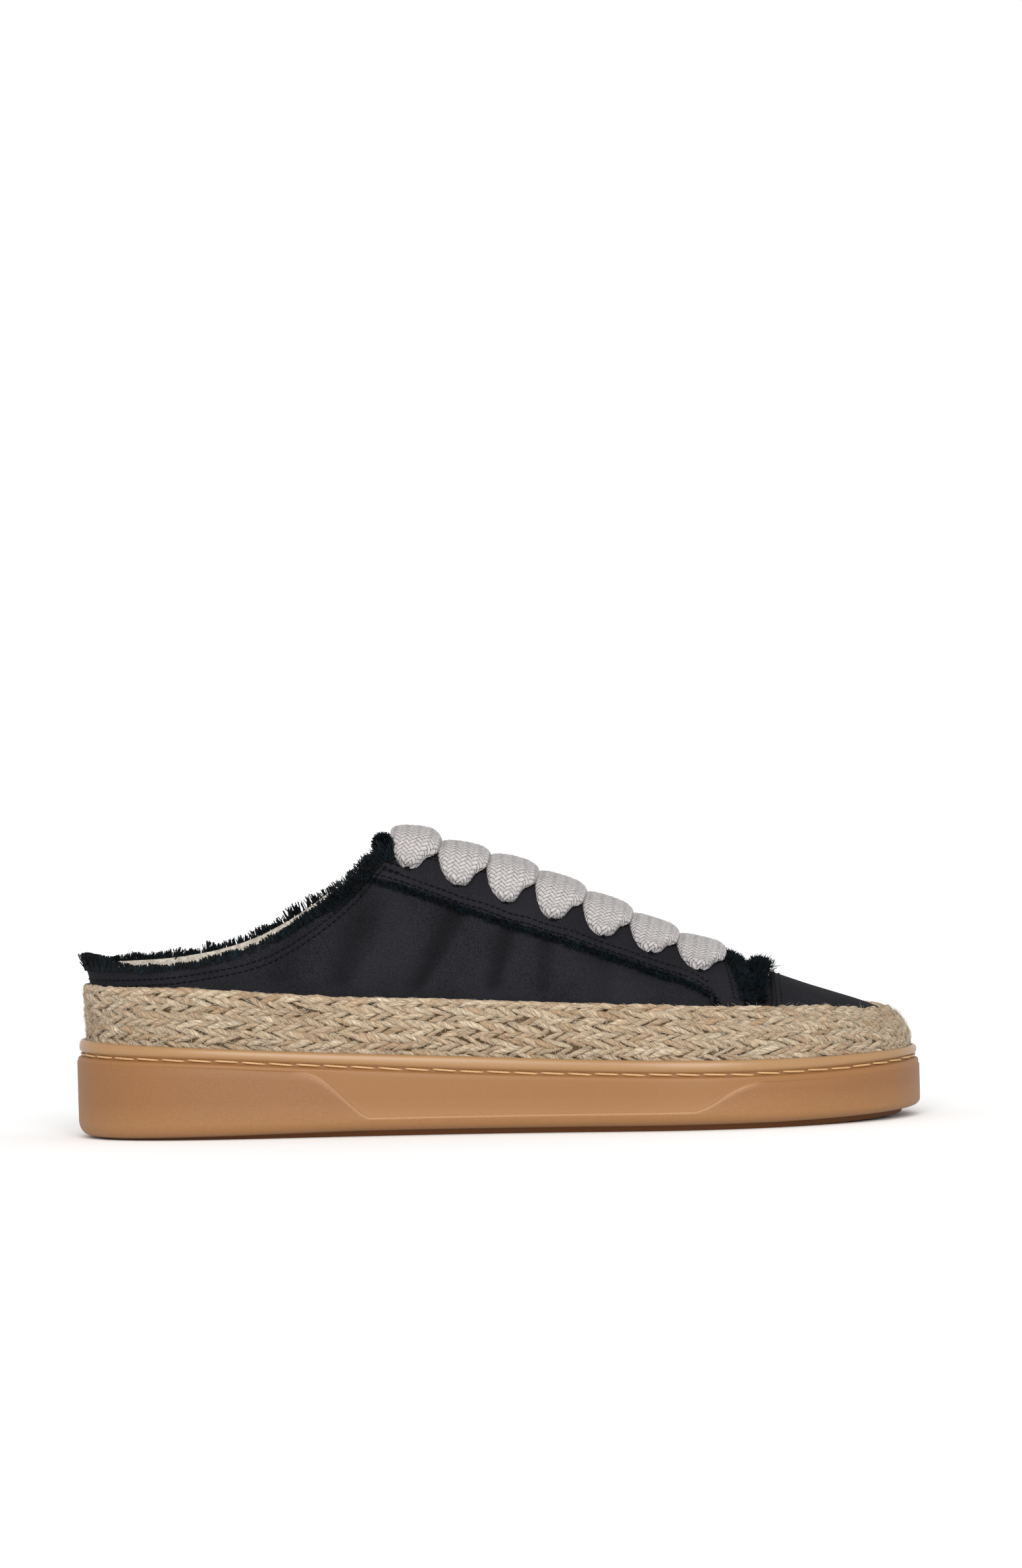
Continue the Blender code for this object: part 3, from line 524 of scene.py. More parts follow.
class Nodes:
    """Short way to write a material's nodes."""

    def __init__(self, name):
        self.material = bpy.data.materials.new(name)
        self.material.use_nodes = True
        self.tree = self.material.node_tree
        self.shader = self.tree.nodes["Principled BSDF"]

    def put(self, socket, value):
        if isinstance(value, bpy.types.NodeSocket):
            self.tree.links.new(value, socket)
        else:
            socket.default_value = (*value, 1.0) if socket.type == "RGBA" else value

    def add(self, kind, *values, **named):
        """A new node; values go to its first inputs in turn, named ones to the inputs of those names."""
        node = self.tree.nodes.new(kind)
        for socket, value in zip(node.inputs, values):
            self.put(socket, value)
        for name, value in named.items():
            self.put(node.inputs[name], value)
        return node

    def set(self, **inputs):
        for name, value in inputs.items():
            self.put(self.shader.inputs[name.replace("_", " ")], value)

    def place(self):
        return self.add("ShaderNodeTexCoord").outputs["Object"]

    def noise(self, scale, detail=2.0, where=None, rough=0.5):
        where = where or self.place()
        return self.add(
            "ShaderNodeTexNoise", Vector=where, Scale=scale, Detail=detail, Roughness=rough
        ).outputs["Fac"]

    def value(self, name, output="Fac"):
        node = self.add("ShaderNodeAttribute")
        node.attribute_name = name
        return node.outputs[output]

    def math(self, operation, a, b=0.0):
        node = self.add("ShaderNodeMath", a, b)
        node.operation = operation
        return node.outputs["Value"]

    def plus(self, a, b):
        return self.math("ADD", a, b)

    def minus(self, a, b):
        return self.math("SUBTRACT", a, b)

    def times(self, a, b):
        return self.math("MULTIPLY", a, b)

    def lerp(self, share, a, b):
        return self.plus(a, self.times(share, self.minus(b, a)))

    def split(self, vector):
        return list(self.add("ShaderNodeSeparateXYZ", vector).outputs)

    def join(self, x, y, z):
        return self.add("ShaderNodeCombineXYZ", x, y, z).outputs["Vector"]

    def ramp(self, fac, stops):
        node = self.add("ShaderNodeValToRGB", fac)
        elements = node.color_ramp.elements
        while len(elements) < len(stops):
            elements.new(0.5)
        for element, (position, colour) in zip(elements, stops):
            element.position = position
            element.color = (*colour, 1.0)
        return node.outputs["Color"]

    def step(self, fac, low, high):
        """Black up to low, white from high on."""
        return self.ramp(fac, ((low, BLACK), (high, WHITE)))

    def mix(self, fac, a, b, blend="MIX"):
        node = self.add("ShaderNodeMix")
        node.data_type = "RGBA"
        node.blend_type = blend
        for index, value in ((0, fac), (6, a), (7, b)):
            self.put(node.inputs[index], value)
        return node.outputs[2]

    def bump(self, height, strength, distance, below=None):
        node = self.add("ShaderNodeBump", Height=height, Strength=strength, Distance=distance)
        if below:
            self.put(node.inputs["Normal"], below)
        return node.outputs["Normal"]


def rgb(r, g, b):
    """A linear colour that looks like these 8-bit display values in this scene's light."""
    linear = (((c / 255 + 0.055) / 1.055) ** 2.4 if c > 10 else c / 255 / 12.92 for c in (r, g, b))
    return tuple(c * 0.8 for c in linear)


def satin_material():
    n = Nodes("satin")
    weave = n.noise(2900.0, 1.0)
    tone = n.mix(n.step(n.noise(45.0), 0.35, 0.65), rgb(18, 18, 21), rgb(31, 31, 35))
    cloth = n.mix(n.step(weave, 0.3, 0.7), tone, rgb(43, 43, 48))
    # painted shade: darker in the troughs of the side's folds and towards the toe cap's top
    colour = n.mix(n.value("painted_shade"), cloth, rgb(14, 14, 16))
    n.set(Base_Color=colour, Roughness=0.75, Specular_IOR_Level=0.03)
    # fine slanting lines, 0.45 mm apart
    x, y, z = n.split(n.place())
    across = n.plus(n.times(x, 0.8), n.minus(n.times(y, 0.4), n.times(z, 0.6)))
    twill = n.math("SINE", n.times(across, 2 * PI / 0.00045))
    n.set(Normal=n.bump(twill, 0.35, 0.00005, n.bump(weave, 0.3, 0.0002)))
    return n.material


def thread_material():
    n = Nodes("black_thread")
    n.set(Base_Color=rgb(8, 8, 10), Roughness=0.5, Specular_IOR_Level=0.08)
    n.set(Normal=n.bump(n.noise(2500.0, 1.0), 0.4, 0.0002))
    return n.material


def fray_material():
    n = Nodes("frayed_threads")
    tones = ((0.0, rgb(5, 7, 9)), (0.6, rgb(9, 16, 21)), (1.0, rgb(15, 38, 47)))
    n.set(Base_Color=n.ramp(n.value("tone"), tones), Roughness=0.6, Specular_IOR_Level=0.15)
    return n.material


def lining_material():
    n = Nodes("lining")
    fuzz = n.noise(800.0, 4.0)
    colour = n.mix(n.step(fuzz, 0.35, 0.65), rgb(164, 156, 144), rgb(208, 200, 188))
    n.set(Base_Color=colour, Roughness=0.95, Normal=n.bump(fuzz, 0.8, 0.0006))
    return n.material


def lace_material():
    """Braid drawn from its own coordinates: two families of strands cross at a slant."""
    n = Nodes("lace_braid")
    u, v, tip = n.split(n.value("braid", "Vector"))
    a, b = n.plus(u, v), n.minus(u, v)
    cell_a, cell_b = n.math("FRACT", a), n.math("FRACT", b)
    turn = n.plus(n.plus(n.math("FLOOR", a), n.math("FLOOR", b)), 400.0)
    turn = n.math("MODULO", turn, 4.0)
    top = n.math("LESS_THAN", turn, 1.5)
    across = n.lerp(top, cell_b, cell_a)
    along = n.times(n.plus(n.math("MODULO", turn, 2.0), n.lerp(top, cell_a, cell_b)), 0.5)
    cross = n.math("SINE", n.times(across, PI))
    reach = n.math("SINE", n.times(along, PI))
    dome = n.times(n.math("POWER", cross, 0.6), n.lerp(n.math("POWER", reach, 0.6), 0.42, 1.0))
    corner = n.times(n.minus(1.0, cross), n.minus(1.0, reach))
    strand = n.math("FLOOR", n.lerp(top, b, a))
    path = n.join(n.times(across, 9.0), n.times(along, 1.2), n.times(strand, 3.7))
    fibre = n.noise(1.0, 3.0, path)
    body = n.mix(n.step(fibre, 0.35, 0.65), rgb(173, 169, 170), rgb(218, 213, 210))
    # painted shade: darker towards the bars' tips
    body = n.mix(n.times(tip, 0.45), body, rgb(150, 145, 148))
    # painted shade in the creases round each cell
    shade = n.ramp(dome, ((0.0, (0.3, 0.3, 0.3)), (0.3, (0.8, 0.8, 0.8)), (0.65, WHITE)))
    colour = n.mix(shade, rgb(134, 129, 134), body)
    # painted shade, darkest at the cells' corners where the strands cross
    colour = n.mix(n.step(corner, 0.42, 0.75), colour, rgb(44, 41, 46))
    n.set(Base_Color=colour, Roughness=0.5, Specular_IOR_Level=0.35, Sheen_Weight=0.05)
    n.set(Normal=n.bump(fibre, 0.35, 0.0002, n.bump(dome, 1.0, 0.0006)))
    return n.material


def jute_material(name, low, high, dark, streaks=0.3):
    """Twisted fibres drawn from each strand's own coordinates."""
    n = Nodes(name)
    along, around, seed = n.split(n.value("yarn", "Vector"))
    path = n.join(n.times(along, 0.45), n.times(around, 4.2), n.times(seed, 40.0))
    fibre = n.noise(1.0, 5.0, path, 0.65)
    tone = n.mix(n.value("tone"), low, high)
    streak = n.mix(n.step(fibre, 0.37, 0.62), tuple(c * streaks for c in low), tone)
    # painted shade: the dark colour fills the grooves between the plies and the strands' ends, where
    # they go under their neighbours
    colour = n.mix(n.step(n.value("ply"), 0.0, 0.45), dark, streak)
    n.set(Base_Color=colour, Roughness=0.85, Specular_IOR_Level=0.2)
    n.set(Normal=n.bump(fibre, 0.9, 0.0004))
    return n.material


def gum_material():
    n = Nodes("gum_rubber")
    lip = n.value("lip")
    panel = n.value("panel")
    wall = n.mix(n.noise(30.0), rgb(138, 93, 53), rgb(147, 101, 58))
    wall = n.mix(panel, wall, rgb(147, 102, 58))
    # painted light from the floor: lighter near it
    height = n.times(n.split(n.place())[2], 50.0)
    wall = n.mix(n.ramp(height, ((0.1, WHITE), (0.6, BLACK))), wall, rgb(158, 114, 70))
    colour = n.mix(lip, wall, rgb(162, 124, 83))
    # painted highlight along the panel's lower step
    colour = n.mix(n.value("edge"), colour, rgb(190, 146, 106))
    # painted shade, red-brown: the tread's side under the wall, the bottom rounding and the stitch
    # groove
    colour = n.mix(n.math("POWER", n.value("low"), 2.2), colour, rgb(114, 70, 34))
    # the wall is matt and grained, the lip and the panel are smoother
    fine = n.noise(2600.0)
    smooth = n.math("MAXIMUM", lip, panel)
    speck = n.mix(n.step(fine, 0.35, 0.7), (0.9, 0.9, 0.9), (1.06, 1.06, 1.06))
    speckled = n.mix(1.0, colour, speck, "MULTIPLY")
    colour = n.mix(n.minus(1.0, n.times(smooth, 0.7)), colour, speckled)
    n.set(Base_Color=colour, Roughness=n.minus(0.55, n.times(lip, 0.22)), Specular_IOR_Level=0.38)
    relief = n.times(fine, n.minus(1.0, n.times(smooth, 0.75)))
    n.set(Normal=n.bump(relief, 0.3, 0.0003))
    return n.material


def sole_thread_material():
    n = Nodes("sole_thread")
    # painted light and shade: lighter on the plies' crests, darker in the grooves between them
    n.set(Base_Color=n.mix(n.value("ply"), rgb(146, 103, 58), rgb(213, 173, 120)), Roughness=0.5)
    return n.material


def speckled_material(name, colour, roughness):
    n = Nodes(name)
    speck = n.noise(700.0)
    dark = tuple(c * 0.6 for c in colour)
    n.set(Base_Color=n.mix(n.times(speck, 0.4), colour, dark), Roughness=roughness)
    n.set(Normal=n.bump(speck, 0.3, 0.0003))
    return n.material


# Camera, light and floor


# metres and degrees: the camera stands far off, so the field's height is that at the shoe
CAMERA_X = 0.006207
CAMERA_DISTANCE = 3.0
CAMERA_HEIGHT = 0.2
AIM_HEIGHT = 0.1087
CAMERA_ROLL = 1.502
FIELD_HEIGHT = 0.49812
SENSOR = 36.0

# name, way to the light, strength, breadth in degrees, colour
SUNS = (
    ("front_light", (0.0, -1.0, 0.5), 2.9, 40, (1.0, 0.98, 0.95)),
    ("top_light", (0.3, -0.1, 1.0), 0.25, 80, (0.85, 0.9, 1.0)),
)
# white all round, dimmer overhead
SKY = {"From Min": 0.3, "From Max": 0.7, "To Min": 1.08, "To Max": 0.52}


def make_world():
    world = bpy.data.worlds.new("studio")
    world.use_nodes = True
    tree = world.node_tree
    background = tree.nodes["Background"]
    background.inputs["Color"].default_value = (1.0, 1.0, 1.0, 1.0)
    way = tree.nodes.new("ShaderNodeTexCoord")
    split = tree.nodes.new("ShaderNodeSeparateXYZ")
    dim = tree.nodes.new("ShaderNodeMapRange")
    for name, value in SKY.items():
        dim.inputs[name].default_value = value
    tree.links.new(way.outputs["Generated"], split.inputs[0])
    tree.links.new(split.outputs["Z"], dim.inputs["Value"])
    tree.links.new(dim.outputs["Result"], background.inputs["Strength"])
    bpy.context.scene.world = world


def make_camera():
    camera = bpy.data.cameras.new("camera")
    obj = link("camera", camera)
    place = Vector((CAMERA_X, -CAMERA_DISTANCE, CAMERA_HEIGHT))
    target = Vector((CAMERA_X, 0.0, AIM_HEIGHT))
    ahead = (target - place).normalized()
    right = ahead.cross(Vector((0, 0, 1))).normalized()
    above = right.cross(ahead)
    roll = math.radians(CAMERA_ROLL)
    turned = right * math.cos(roll) - above * math.sin(roll)
    upward = right * math.sin(roll) + above * math.cos(roll)
    matrix = Matrix((turned, upward, -ahead)).transposed().to_4x4()
    matrix.translation = place
    obj.matrix_world = matrix
    camera.sensor_fit = "VERTICAL"
    camera.sensor_height = SENSOR
    camera.lens = SENSOR * (target - place).length / FIELD_HEIGHT
    bpy.context.scene.camera = obj


def stage_scene():
    """The floor, the light all round, two soft suns and the camera."""
    n = Nodes("floor")
    n.set(Base_Color=(0.93, 0.93, 0.93), Roughness=0.9, Specular_IOR_Level=0.0)
    edge = np.linspace(-40.0, 40.0, 9) / MM
    points = np.array([[(x, y, 0.0) for y in edge] for x in edge])
    grid_object("floor", points, n.material)
    make_world()
    for name, way, strength, breadth, colour in SUNS:
        light = bpy.data.lights.new(name, "SUN")
        light.color = colour
        light.energy = strength
        light.angle = math.radians(breadth)
        link(name, light).rotation_euler = (-Vector(way)).to_track_quat("-Z", "Y").to_euler()
    make_camera()
    bpy.context.scene.view_settings.view_transform = "Standard"


# Sole


def toe_lift(phi):
    """Toe spring of the tread."""
    x = -HALF_LENGTH * np.cos(phi)
    return TOE_SPRING * ease(x, 84.0, HALF_LENGTH) ** 2


def panel_edge(phi):
    """Height of the smooth panel's lower edge, its corners softened."""
    x = -HALF_LENGTH * np.cos(phi)
    xs, zs = np.array(PANEL).T
    fine_x = np.linspace(xs[0], xs[-1], 300)
    fine_z = np.interp(fine_x, xs, zs)
    soft = np.exp(-0.5 * (np.arange(-12, 13) / 5.0) ** 2)
    padded = np.concatenate([np.full(12, fine_z[0]), fine_z, np.full(12, fine_z[-1])])
    fine_z = np.convolve(padded, soft / soft.sum(), "valid")
    inside = np.interp(x, fine_x, fine_z)
    # past the panel's ends its edge keeps its distance from the groove
    groove = level(GROOVE, phi)
    behind, ahead = (groove - follow(LEVELS, GROOVE, xs[k]) + zs[k] for k in (0, -1))
    return np.where(x < xs[0], behind, np.where(x > xs[-1], ahead, inside))


def sole_profile(phi):
    """Rows (setback, z, lip, low, panel, edge) from under the tread's rim up and over into the cup; low
    is painted shade and edge a painted highlight.
    """
    lift = toe_lift(phi)
    edge = panel_edge(phi)
    groove = level(GROOVE, phi)
    lip = level(LIP, phi)
    x = -HALF_LENGTH * np.cos(phi)
    # the wall comes down nearly to the floor at the heel
    tread = TREAD_HEIGHT * np.interp(x, (-125.0, -45.0), (0.25, 1.15))
    # the panel's step fades out towards heel and toe
    depth = PANEL_DEPTH * np.clip(1.35 - np.abs(x - 5.0) / 130.0, 0.4, 1.0)
    rows = []

    def row(setback, z, lip_share=0.0, low=0.0, panel=0.0, edge_share=0.0):
        values = (setback, z, lip_share, low, panel, edge_share)
        rows.append([np.broadcast_to(np.asarray(v, float), phi.shape) for v in values])

    # low: painted shade on the tread's rim and side under the wall, fading up the bottom rounding
    row(TREAD_SETBACK + TREAD_RIM + 1.0, lift + 0.05, low=1.0)
    row(TREAD_SETBACK + 0.9, lift, low=1.0)
    row(TREAD_SETBACK + 0.6, lift + 0.1, low=1.0)
    row(TREAD_SETBACK, lift + tread, low=1.0)
    row(4.4, lift + tread + 0.2, low=0.9)
    for a in np.linspace(0, 1, 7):
        setback = 3.6 * (1 - math.sin(a * PI / 2)) + 0.35 * (1 - a) + 0.05
        rise = (TREAD_HEIGHT - tread + 3.4) * (1 - math.cos(a * PI / 2))
        row(setback, lift * (1 - a) + tread + 0.35 + rise, low=max(0.0, 0.45 - a))
    base = TREAD_HEIGHT + 3.9
    low_edge = np.maximum(edge, base + 0.9)
    for a in (0.3, 0.6, 0.85):
        row(0.0, base + (low_edge - 0.7 - base) * a)
    # edge_share: a painted highlight along the panel's lower step
    seen = ease(x, -66.0, -58.0) * ease(x, 84.0, 76.0)
    row(0.0, low_edge - 0.4, edge_share=0.3 * seen)
    row(0.1, low_edge - 0.2, edge_share=0.9 * seen)
    row(depth * 0.6, low_edge, edge_share=0.5 * seen)
    row(depth * 0.94, low_edge + 0.25, panel=1.0)
    row(depth, low_edge + 0.5, panel=1.0)
    top = groove - 1.35
    for a in (0.2, 0.45, 0.7, 0.9):
        row(depth, low_edge + 0.5 + (top - low_edge - 0.5) * a, panel=1.0)
    row(depth + 0.04, top + 0.15, panel=1.0)
    row(depth + 0.16, top + 0.35, panel=0.9)
    row(depth + 0.45, groove - 0.8, panel=0.6)
    # low: painted shade in the stitch groove
    row(1.5, groove - 0.55, low=0.4, panel=0.3)
    deep = LIP_SETBACK + GROOVE_DEPTH
    row(deep, groove - 0.3, low=0.7)
    row(deep, groove + 0.4, 0.2, low=0.7)
    row(1.55, groove + 0.75, 0.7, low=0.4)
    row(1.15, groove + 1.05, 1.0)
    row(0.9, groove + 1.45, 1.0)
    for a in np.linspace(0, 1, 11):
        setback = LIP_SETBACK + 1.25 * (1 - math.cos(a * PI / 2)) ** 1.2
        row(setback, groove + 1.8 + (lip - groove - 1.8) * math.sin(a * PI / 2), 1.0)
    inside = LIP_SETBACK + LIP_THICKNESS
    row(inside - 0.5, lip - 0.04, 1.0)
    row(inside, lip - 0.4, 1.0)
    row(inside, lip - CUP_DEPTH + 0.2, 1.0)
    row(inside + 3.0, lip - CUP_DEPTH, 1.0)
    return np.array(rows)


def make_sole():
    count = 520
    # closer together at heel and toe
    half = np.linspace(0, PI, count // 2 + 1)
    half = half + 0.25 * np.sin(2 * half) / 2
    phi = np.concatenate([half, 2 * PI - half[-2:0:-1]])
    rows = sole_profile(phi)
    columns = [np.concatenate([plan(phi, row[0])[0], row[1][:, None]], 1) for row in rows]
    points = np.stack(columns, 1)
    values = {key: rows[:, k].T.ravel() for k, key in enumerate(("lip", "low", "panel", "edge"), 2)}
    sole = grid_object("sole_wall", points, GUM, closed=True, values=values)
    # the cup's floor runs flat across from its edge to the middle line
    edge = points[:, -1]
    middle = (edge + np.roll(edge[::-1], 1, 0)) / 2
    i = np.arange(count)
    k = (i + 1) % count
    faces = np.stack([i, k, k + count, i + count], 1)
    floor = mesh_object("cup_floor", np.concatenate([edge, middle]), faces, TREAD)
    return [sole, floor, make_tread()]


def make_tread():
    """The tread's flat underside, inside the wall's lowest ring, with its flex grooves cut in."""
    phi = np.linspace(0, PI, 400)
    rim = TREAD_SETBACK + TREAD_RIM
    (x_ring, outer), (inner_x, inner) = (plan(side, rim)[0].T for side in (phi, 2 * PI - phi))
    centres = np.concatenate([np.linspace(start, end, count) for start, end, count in TREAD_BLOCKS])
    at = np.arccos(-centres / HALF_LENGTH)
    ends = [plan(side)[0].T[1] for side in (at, 2 * PI - at)]
    half = TREAD_GROOVE / 2
    middle = (x_ring[0] + x_ring[-1]) / 2
    reach = (x_ring[-1] - x_ring[0]) / 2 - 0.05
    even = middle - reach * np.cos(np.linspace(0, PI, 90))
    # x, order, sunk: each groove has a flat and a sunk column at each of its edges
    columns = [(x, 0, 0) for x in even if np.abs(x - centres).min() > half + 0.2]
    for x in centres:
        columns += [(x - half, 0, 0), (x - half, 1, 1), (x + half, 0, 1), (x + half, 1, 0)]
    x, _, sunk = (np.array(part, float) for part in zip(*sorted(columns)))
    near = np.interp(x, x_ring, outer)
    wide = np.interp(x, inner_x, inner) - near
    margin = TREAD_SETBACK + TREAD_BORDER
    first = np.clip((np.interp(x, centres, ends[0]) + margin - near) / wide, 0.02, 0.45)
    last = np.clip((np.interp(x, centres, ends[1]) - margin - near) / wide, 0.55, 0.98)
    across = np.stack([0 * x, first, first, first / 2 + last / 2, last, last, 0 * x + 1], 1)
    depth = TREAD_HEIGHT * sunk[:, None] * np.array([0, 0, 1, 1, 1, 0, 0])
    z = np.interp(x, x_ring, toe_lift(phi))[:, None] + depth
    points = np.stack([x[:, None] + 0 * z, near[:, None] + wide[:, None] * across, z], -1)
    return mesh_object("tread", points, grid_faces(*across.shape)[:, ::-1], TREAD, smooth=False)


def arc_phi(count, setback, start=0.0):
    """Phis an even distance apart round the shoe."""
    fine = np.linspace(0, 2 * PI, 4001)
    length = travelled(plan(fine, setback)[0])
    wanted = (np.arange(count) + start) / count * length[-1]
    return np.interp(wanted % length[-1], length, fine)


def make_sole_stitches():
    count, steps = SOLE_STITCHES, 15
    deep = LIP_SETBACK + GROOVE_DEPTH
    starts = arc_phi(count, deep)
    share = np.linspace(0, 1, steps)
    # 0 at a stitch's middle, 1 at its ends, where it thins and goes into the rubber
    off = np.abs(2 * share - 1)
    phi = starts[:, None] + np.diff(np.append(starts, 2 * PI))[:, None] * (0.04 + 0.92 * share)
    jitter = RNG.normal(0, 0.10, (count, 1)) + RNG.normal(0, 0.10, (count, 1)) * (share - 0.5)
    place, inward = plan(phi, deep - 0.35 + 0.75 * off**6)
    z = level(GROOVE, phi) + 0.1 + jitter - 0.3 * (share - 0.5) * np.sign(PI - phi)
    paths = np.concatenate([place, z[..., None]], -1)
    radius = 0.37 * (1 - 0.6 * off**5) * np.ones(phi.shape)
    up = np.concatenate([-inward, np.zeros(phi.shape)[..., None]], -1)
    sides = 10
    verts, faces = tubes(paths, radius, sides, up)
    # ply shapes the two plies and also paints their crests light and the grooves between them dark
    ply = np.abs(np.cos(ring_angles(sides) + share[:, None] * 17.0)) ** 0.6
    ply = np.tile(ply.ravel(), count)
    verts = draw_in(verts, paths, 0.78 + 0.22 * ply)
    return mesh_object("sole_stitches", verts, faces, SOLE_THREAD, {"ply": ply})


# Jute band


ROUND = np.linspace(0, 2 * PI, 1441)
BAND_LOW_T = t_at_height(ROUND, cup_floor(ROUND) + 2 * CLEARANCE)
BAND_HIGH_T = band_top_t(ROUND, -0.9 * np.clip(0.25 - np.cos(ROUND), 0, 1))


def band_place(phi, height, lift):
    """Points on the band; height runs 0 to 1 up it."""
    low, high = (np.interp(phi % (2 * PI), ROUND, t) for t in (BAND_LOW_T, BAND_HIGH_T))
    return skin(phi, low + (high - low) * height, lift)


def make_jute():
    """Plaits laid in rows: short twisted strands that slant one way, then the other, row by row."""
    per_row, steps, sides = PLAIT_STRANDS, 9, 9
    share = np.linspace(0, 1, steps)
    tall = (0.955 - PLAIT_FOOT) / PLAIT_ROWS
    bulge = np.sin(PI * share)
    taper = 0.58 + 0.42 * np.sin(PI * (0.05 + 0.9 * share)) ** 0.7

    def vary(spread, columns=1):
        return RNG.normal(0, spread, (per_row, columns))

    strands = []
    for row in range(PLAIT_ROWS + 1):
        # the last row is a thin, flat one along the rim
        rim = row == PLAIT_ROWS
        slant = 1.0 if row % 2 else -1.0
        phi0 = arc_phi(per_row, BAND_SETBACK, 0.5 * (row % 2) + 0.13 * row)[:, None] + vary(0.003)
        length = STRAND_LENGTH + vary(0.9)
        phi = phi0 + (share - 0.5) * length * phi_rate(phi0)
        rise = (0.4 if rim else 1.3) * tall * (1 + vary(0.2))
        centre = 0.935 if rim else PLAIT_FOOT + tall * (row + 0.5)
        centre = centre + vary(0.03 if rim else 0.12) * tall
        sway = np.sin(2 * PI * share + RNG.uniform(0, 6, (per_row, 1)))
        height = centre + slant * (share - 0.5) * rise + tall * (0.08 * bulge + 0.05 * sway)
        height = np.clip(height, 0.02, 1.03 if rim else 0.94)
        lift = (0.7 if rim else 1.1) + 1.25 * bulge**0.6 + vary(0.18)
        thick = (0.8 if rim else 0.97) + vary(0.12) + vary(0.06, steps)
        strands.append((phi, height, lift, thick * taper))
    phi, height, lift, radius = (np.concatenate(part) for part in zip(*strands))
    paths = band_place(phi, height, lift)
    count = len(phi)
    verts, faces = tubes(paths, radius, sides, outward(phi, 0.2), flat=0.9)
    # the yarn's two plies wind round it
    turned = 7.0 * share[:, None] + RNG.uniform(0, PI, count)[:, None, None]
    turned = ring_angles(sides) + turned
    groove = np.abs(np.cos(turned)) ** 0.5
    rough = 1 + 0.1 * grain(verts, 0.9, 3)
    verts = draw_in(verts, paths, (0.88 + 0.13 * groove.ravel()) * rough)
    ends = ease(np.minimum(share, 1 - share), 0, 0.13)[:, None]
    tone = tones(count, 0.5, 0.25)[:, None, None]
    yarn = (8.5 * share[:, None], 1.2 * turned, RNG.uniform(0, 1, count)[:, None, None])
    # ply paints shade into the grooves between the plies and onto the strands' ends
    values = {
        "ply": (0.35 + 0.65 * groove) * (0.15 + 0.85 * ends),
        "tone": tone + 0 * groove,
        "yarn": np.stack([part + 0 * groove for part in yarn], -1),
    }
    made = []
    half = count // 2
    for name, first, last in (("jute_strands_1", 0, half), ("jute_strands_2", half, count)):
        cut = slice(first * steps * sides, last * steps * sides)
        part = {key: value.reshape((-1,) + value.shape[3:])[cut] for key, value in values.items()}
        quads = faces.reshape(count, -1, 4)[first:last].reshape(-1, 4) - cut.start
        made.append(mesh_object(name, verts[cut], quads, JUTE, part))
    return made


def phi_rate(phi):
    """How much phi changes for each mm along the band."""
    e = 1e-3
    (a, _), (b, _) = plan(phi - e, BAND_SETBACK), plan(phi + e, BAND_SETBACK)
    return 2 * e / np.linalg.norm(b - a, axis=-1)


def make_jute_core():
    """The plait's inside, seen between its strands, in a darker copy of the jute: painted shade."""
    phi = arc_phi(260, BAND_SETBACK)
    heights = (0.0, 0.15, 0.35, 0.55, 0.75, 0.86, 0.91, 0.93)
    lifts = (2.0, 2.0, 2.0, 2.0, 2.0, 1.5, 0.7, 0.0)
    points = np.stack([band_place(phi, *ring) for ring in zip(heights, lifts)], 1)
    flat = points.reshape(-1, 3)
    values = {"ply": np.ones(len(flat)), "tone": np.full(len(flat), 0.5), "yarn": flat}
    return grid_object("jute_core", points, JUTE_SHADOW, closed=True, values=values)


def make_jute_hairs():
    """Loose fibres that stand off the plait and lie over its edges."""
    count, steps = JUTE_HAIRS, 4
    phi0 = RNG.uniform(0, 2 * PI, count)
    height0 = RNG.uniform(0.18, 1.0, count)
    height0 = np.where(RNG.uniform(size=count) < 0.035, RNG.normal(0.95, 0.02, count), height0)
    # they bend and stand less where they are near the band's top
    free = np.interp(height0, (0.9, 0.95), (1, 0.3))[:, None]
    share = np.linspace(0, 1, steps)
    length = RNG.uniform(1.6, 6.5, count)[:, None]
    angle = RNG.normal(0, 0.55, (count, 1)) + PI * (RNG.uniform(size=(count, 1)) < 0.5)
    angle = angle + RNG.normal(0, 1.2, (count, 1)) * share * free
    along, above = (np.cumsum(way, 1) / steps * length for way in (np.cos(angle), np.sin(angle)))
    phi = phi0[:, None] + along * phi_rate(phi0)[:, None]
    height = height0[:, None] + above / 23.0
    height = np.clip(np.where(height > 0.96, 0.96 + 0.2 * (height - 0.96), height), 0.16, 1.0)
    at_ends = np.abs(np.cos(phi0[:, None])) ** 8
    stand = RNG.uniform(0.0, 1.3, (count, 1)) * share**1.5 * (1 - 0.7 * at_ends) * free
    base = np.interp(height0, (0.85, 0.98), (3.15, 1.3))[:, None] + RNG.normal(0, 0.25, (count, 1))
    paths = band_place(phi, height, base + stand)
    radius = RNG.uniform(0.04, 0.1, (count, 1)) * (1 - 0.5 * share)
    radius = radius * np.interp(height, (0.9, 0.96), (1, 0.4))
    verts, faces = tubes(paths, radius, 3, outward(phi, 0.2))
    tone = np.repeat(RNG.uniform(0.5, 1.0, count), steps * 3)
    values = {"ply": np.ones(len(verts)), "tone": tone, "yarn": verts * 0.2}
    return mesh_object("jute_hairs", verts, faces, HAIR, values)


# Upper

# along at the foot, slant, half width, depth and how far up it runs, of each of the side's soft folds
FOLDS = (
    (-92.0, 6.0, 6.0, 0.35, 0.6),
    (-68.0, 10.0, 5.0, 0.6, 0.75),
    (-50.0, 12.0, 5.0, 0.9, 0.85),
    (-26.0, 18.0, 3.2, 1.2, 1.0),
    (-2.0, 10.0, 2.4, 1.0, 0.95),
    (14.0, 5.0, 2.6, 0.8, 0.9),
    (33.0, 4.0, 3.5, 0.4, 0.7),
)


